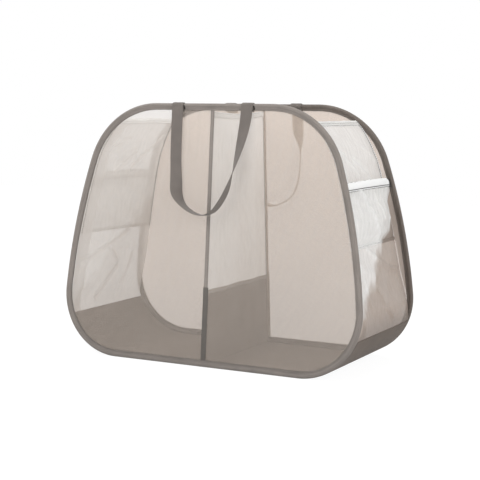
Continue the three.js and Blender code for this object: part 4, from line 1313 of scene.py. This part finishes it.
# Divider, with soft upright folds: each a place, as a share of the depth, and a share of the full rise.
DIVIDER_FOLD_RISE = 5 * MM
DIVIDER_FOLD_SHARES = [(0.22, 0.8), (0.45, -0.7), (0.62, 0.6), (0.82, -0.8)]
DIVIDER_BREADTH_SHARE = 0.09
DIVIDER_DRIFT_SHARE = 0.12
DIVIDER_RIPPLE = 1.2 * MM
END_STITCH_OUT = 0.5 * MM
BASE_RIPPLE = 1.6 * MM
BASE_EDGE_CALM = 60 * MM
DIVIDER_LIFT = 0.4 * MM
END_STITCH_LOW = 20 * MM


def divider_points(level, share, sag, out=0.0):
    """Points of the divider at levels up the panels, out to the right of its middle."""
    level, share = np.asarray(level, float)[:, None], np.asarray(share)[None]
    height = level / DIVIDER_TOP
    rise = np.zeros(np.broadcast_shapes(level.shape, share.shape))
    for middle, size in DIVIDER_FOLD_SHARES:
        drift = middle + DIVIDER_DRIFT_SHARE * (1 - height)
        rise += size * np.exp(-(((share - drift) / DIVIDER_BREADTH_SHARE) ** 2))
    calm = np.sin(np.pi * np.clip(height, 0, 1)) * arch(share, 2)
    fine = DIVIDER_RIPPLE * ripple(triples(0, share * BASE_DEPTH, level), 50 * MM, 120, 3)
    x = (DIVIDER_FOLD_RISE * rise + fine) * calm + out
    up = level - np.asarray(sag) * np.sin(np.pi * share)
    top = PANEL_HEIGHT - BINDING_WIDTH
    near = ease(level, top - EDGE_BLEND, top) + 1 - ease(level, BINDING_WIDTH, BINDING_WIDTH + EDGE_BLEND)
    half = binding_half(np.minimum(level, PANEL_HEIGHT - level)) - MESH_THICKNESS / 2
    return span(x, up, share, CLOTH_GAP + MESH_THICKNESS / 2 + half * near)


def divider():
    half = JOINT_SEAM_HEIGHT / 2
    low, high = LOWER_DIVIDER_HEIGHT - half, LOWER_DIVIDER_HEIGHT + half
    hem_low = DIVIDER_TOP - DIVIDER_HEM_HEIGHT
    rows = np.linspace(BASE_THICKNESS + DIVIDER_LIFT, low + MM, 60)
    piece = sheet("divider_lower_sheet", divider_points(rows, COLUMNS, 0), DARK_NET)
    dress(piece, "between", "dark_cloth", "divider_lower_cloth")
    rows = np.linspace(high - MM, hem_low + MM, 150)
    sag = DIVIDER_SAG * np.linspace(0, 1, 150)[:, None]
    piece = sheet("divider_upper_sheet", divider_points(rows, COLUMNS, sag), DIVIDER_CLOTH)
    dress(piece, "between", "divider_cloth", "divider_upper_cloth")
    # The last value of each is how many rows of points its stitches lie from its edges.
    seam = (low, high, JOINT_SEAM_THICKNESS, 0, JOINT_TAPE, "binding", "joint_seam", 3)
    hem = (hem_low, DIVIDER_TOP, DIVIDER_HEM_THICKNESS, DIVIDER_SAG, WHITE_TAPE, "white_tape", "top_hem", 2)
    count = 13
    for name, (bottom, top, thickness, sag, look, slot, node, edge) in (("seam", seam), ("hem", hem)):
        rows = np.linspace(bottom, top, count)
        swell = thickness / 2 * np.sqrt(np.clip(1 - np.linspace(-1, 1, count) ** 6, 0.04, 1))[:, None]
        left, right = (divider_points(rows, COLUMNS, sag, out) for out in (-swell, swell))
        piece = slab(f"divider_{name}", left, right, look)
        dress(piece, "between", slot, f"divider_{node}")
        paths = []
        for face, facing in ((left, -1), (right, 1)):
            away = normals(face)
            away = away * np.sign(away[..., 0].sum()) * facing
            paths += [(face[line], away[line]) for line in (edge, count - 1 - edge)]
        stitches(f"divider_{name}_stitches", "between", paths, "divider_joint")
    levels = np.linspace(END_STITCH_LOW, DIVIDER_TOP, 200)
    edge = PIPING_STITCH_GAP / BASE_DEPTH
    for end, share in (("front", edge), ("back", 1 - edge)):
        paths = []
        for facing in (-1, 1):
            path = divider_points(levels, [share], 0, facing * END_STITCH_OUT)[:, 0]
            paths.append((path, [facing, 0, 0]))
        stitches(f"divider_{end}_stitches", "between", paths, "divider_end")


def base():
    """The dark cloth of the bottom, turned up into the two bottom corners."""
    share = np.linspace(0, 1, 90)[None]
    reach = FOOT_HALF + BASE_TURN_UP
    around = np.linspace(-reach, reach, 220)[:, None]
    distance = np.abs(around)
    space = edge_space(BASE_THICKNESS)
    lift = (space * SIN_LEAN - BASE_LIFT) / COS_LEAN
    lie = ease(FOOT_HALF - distance, 0, BASE_EDGE_CALM) * arch(share, 3)
    bumps = ripple(triples(around, share * BASE_DEPTH, 0), 70 * MM, 150, 3)
    wave = BASE_RIPPLE * np.clip(0.25 + bumps, 0, 1) * lie
    grids = []
    for inset in (BASE_THICKNESS, 0.0):
        x, up = rim(distance, inset)
        grids.append(span(x * np.sign(around), up + lift + wave, share, space))
    piece = slab("base_sheet", *grids, BASE_CLOTH)
    dress(piece, "between", "dark_cloth", "base_cloth")


divider()
base()
for end in ENDS:
    bpy.data.objects[f"{end}_hoop_wire"].material_slots[0].material = SPRING_STEEL
    bpy.data.objects[f"{end}_wire_ferrule"].material_slots[0].material = FERRULE_STEEL


# Camera, as the photograph was taken: its place in metres, and its turns in degrees.
CAMERA_PLACE = (1.1655, -2.2175, 0.5125)
CAMERA_YAW, CAMERA_PITCH, CAMERA_ROLL = (math.radians(angle) for angle in (27.638, -6.224, 0.462))
CAMERA_LENS = 91.55
SENSOR_WIDTH = 36


def add_camera():
    angles = (CAMERA_YAW, CAMERA_PITCH, CAMERA_ROLL)
    (yaw_cos, pitch_cos, roll_cos), (yaw_sin, pitch_sin, roll_sin) = np.cos(angles), np.sin(angles)
    yaw = np.array([[yaw_cos, yaw_sin, 0], [-yaw_sin, yaw_cos, 0], [0, 0, 1]])
    pitch = np.array([[1, 0, 0], [0, pitch_cos, pitch_sin], [0, -pitch_sin, pitch_cos]])
    roll = np.array([[roll_cos, 0, roll_sin], [0, 1, 0], [-roll_sin, 0, roll_cos]])
    right, ahead, above = roll @ pitch @ yaw
    data = bpy.data.cameras.new("camera")
    data.lens, data.sensor_width = CAMERA_LENS, SENSOR_WIDTH
    camera = put("camera", data)
    turn = Matrix(np.stack([right, above, -ahead], 1).tolist()).to_4x4()
    camera.matrix_world = Matrix.Translation(CAMERA_PLACE) @ turn
    scene.camera = camera


# Light: a broad soft lamp from the front left, weaker ones from the right and above, and a white room.
AMBIENT = 0.52
LAMPS = {
    "key": ((-2.0, -3.0, 3.0), 3.0, 92.0),
    "fill": ((3.2, -1.6, 1.8), 2.4, 52.0),
    "top": ((0.0, 0.6, 3.6), 2.2, 32.0),
}
LAMP_TARGET = Vector((0, 0, 0.25))


def background_rays(tree):
    """1 for the rays that show the background, 0 for those that carry light to the object."""
    path = add_node(tree, "ShaderNodeLightPath").outputs
    total = 0.0
    for ray in ("Is Camera Ray", "Is Glossy Ray", "Is Transmission Ray"):
        inputs = {0: path[ray], 1: total}
        total = add_node(tree, "ShaderNodeMath", inputs, operation="ADD", use_clamp=True).outputs[0]
    return total


def add_light():
    world = bpy.data.worlds.new("room")
    scene.world = world
    world.use_nodes = True
    tree = world.node_tree
    inputs = {"Value": background_rays(tree), "To Min": AMBIENT, "To Max": 1.0}
    strength = add_node(tree, "ShaderNodeMapRange", inputs).outputs["Result"]
    background = tree.nodes["Background"].inputs
    plug(tree, background["Color"], (1, 1, 1, 1))
    plug(tree, background["Strength"], strength)
    for name, (place, size, power) in LAMPS.items():
        data = bpy.data.lights.new(name, "AREA")
        data.shape, data.size, data.energy = "SQUARE", size, power
        lamp = put(name, data)
        lamp.location = place
        lamp.rotation_euler = (LAMP_TARGET - Vector(place)).to_track_quat("-Z", "Y").to_euler()


# Floor: pale for the light on the object, and white to the camera but for a faint shadow.
FLOOR_HALF = 4.0
FLOOR_DROP = 0.5 * MM
FLOOR_PALE = 0.8
FLOOR_GLOW = 0.94
FLOOR_TINT = 0.14


def add_floor():
    material = bpy.data.materials.new("pale_floor")
    material.use_nodes = True
    tree = material.node_tree
    surface = tree.nodes["Principled BSDF"]
    plug(tree, surface.inputs["Base Color"], (FLOOR_PALE, FLOOR_PALE, FLOOR_PALE, 1))
    plug(tree, surface.inputs["Roughness"], 0.9)
    pale = add_node(tree, "ShaderNodeBsdfDiffuse", {"Color": (FLOOR_TINT, FLOOR_TINT, FLOOR_TINT, 1)})
    glow = add_node(tree, "ShaderNodeEmission", {"Strength": FLOOR_GLOW})
    shown = add_node(tree, "ShaderNodeAddShader", {0: pale.outputs[0], 1: glow.outputs[0]})
    inputs = {0: background_rays(tree), 1: surface.outputs[0], 2: shown.outputs[0]}
    mixed = add_node(tree, "ShaderNodeMixShader", inputs)
    plug(tree, tree.nodes["Material Output"].inputs["Surface"], mixed.outputs[0])
    mesh = bpy.data.meshes.new("floor")
    turns = ((-1, -1), (1, -1), (1, 1), (-1, 1))
    corners = [(x * FLOOR_HALF, y * FLOOR_HALF, -FLOOR_DROP) for x, y in turns]
    mesh.from_pydata(corners, [], [(0, 1, 2, 3)])
    mesh.materials.append(material)
    put("floor", mesh)


add_camera()
add_light()
add_floor()
scene.view_settings.view_transform = "Standard"
scene.cycles.transparent_max_bounces = 32
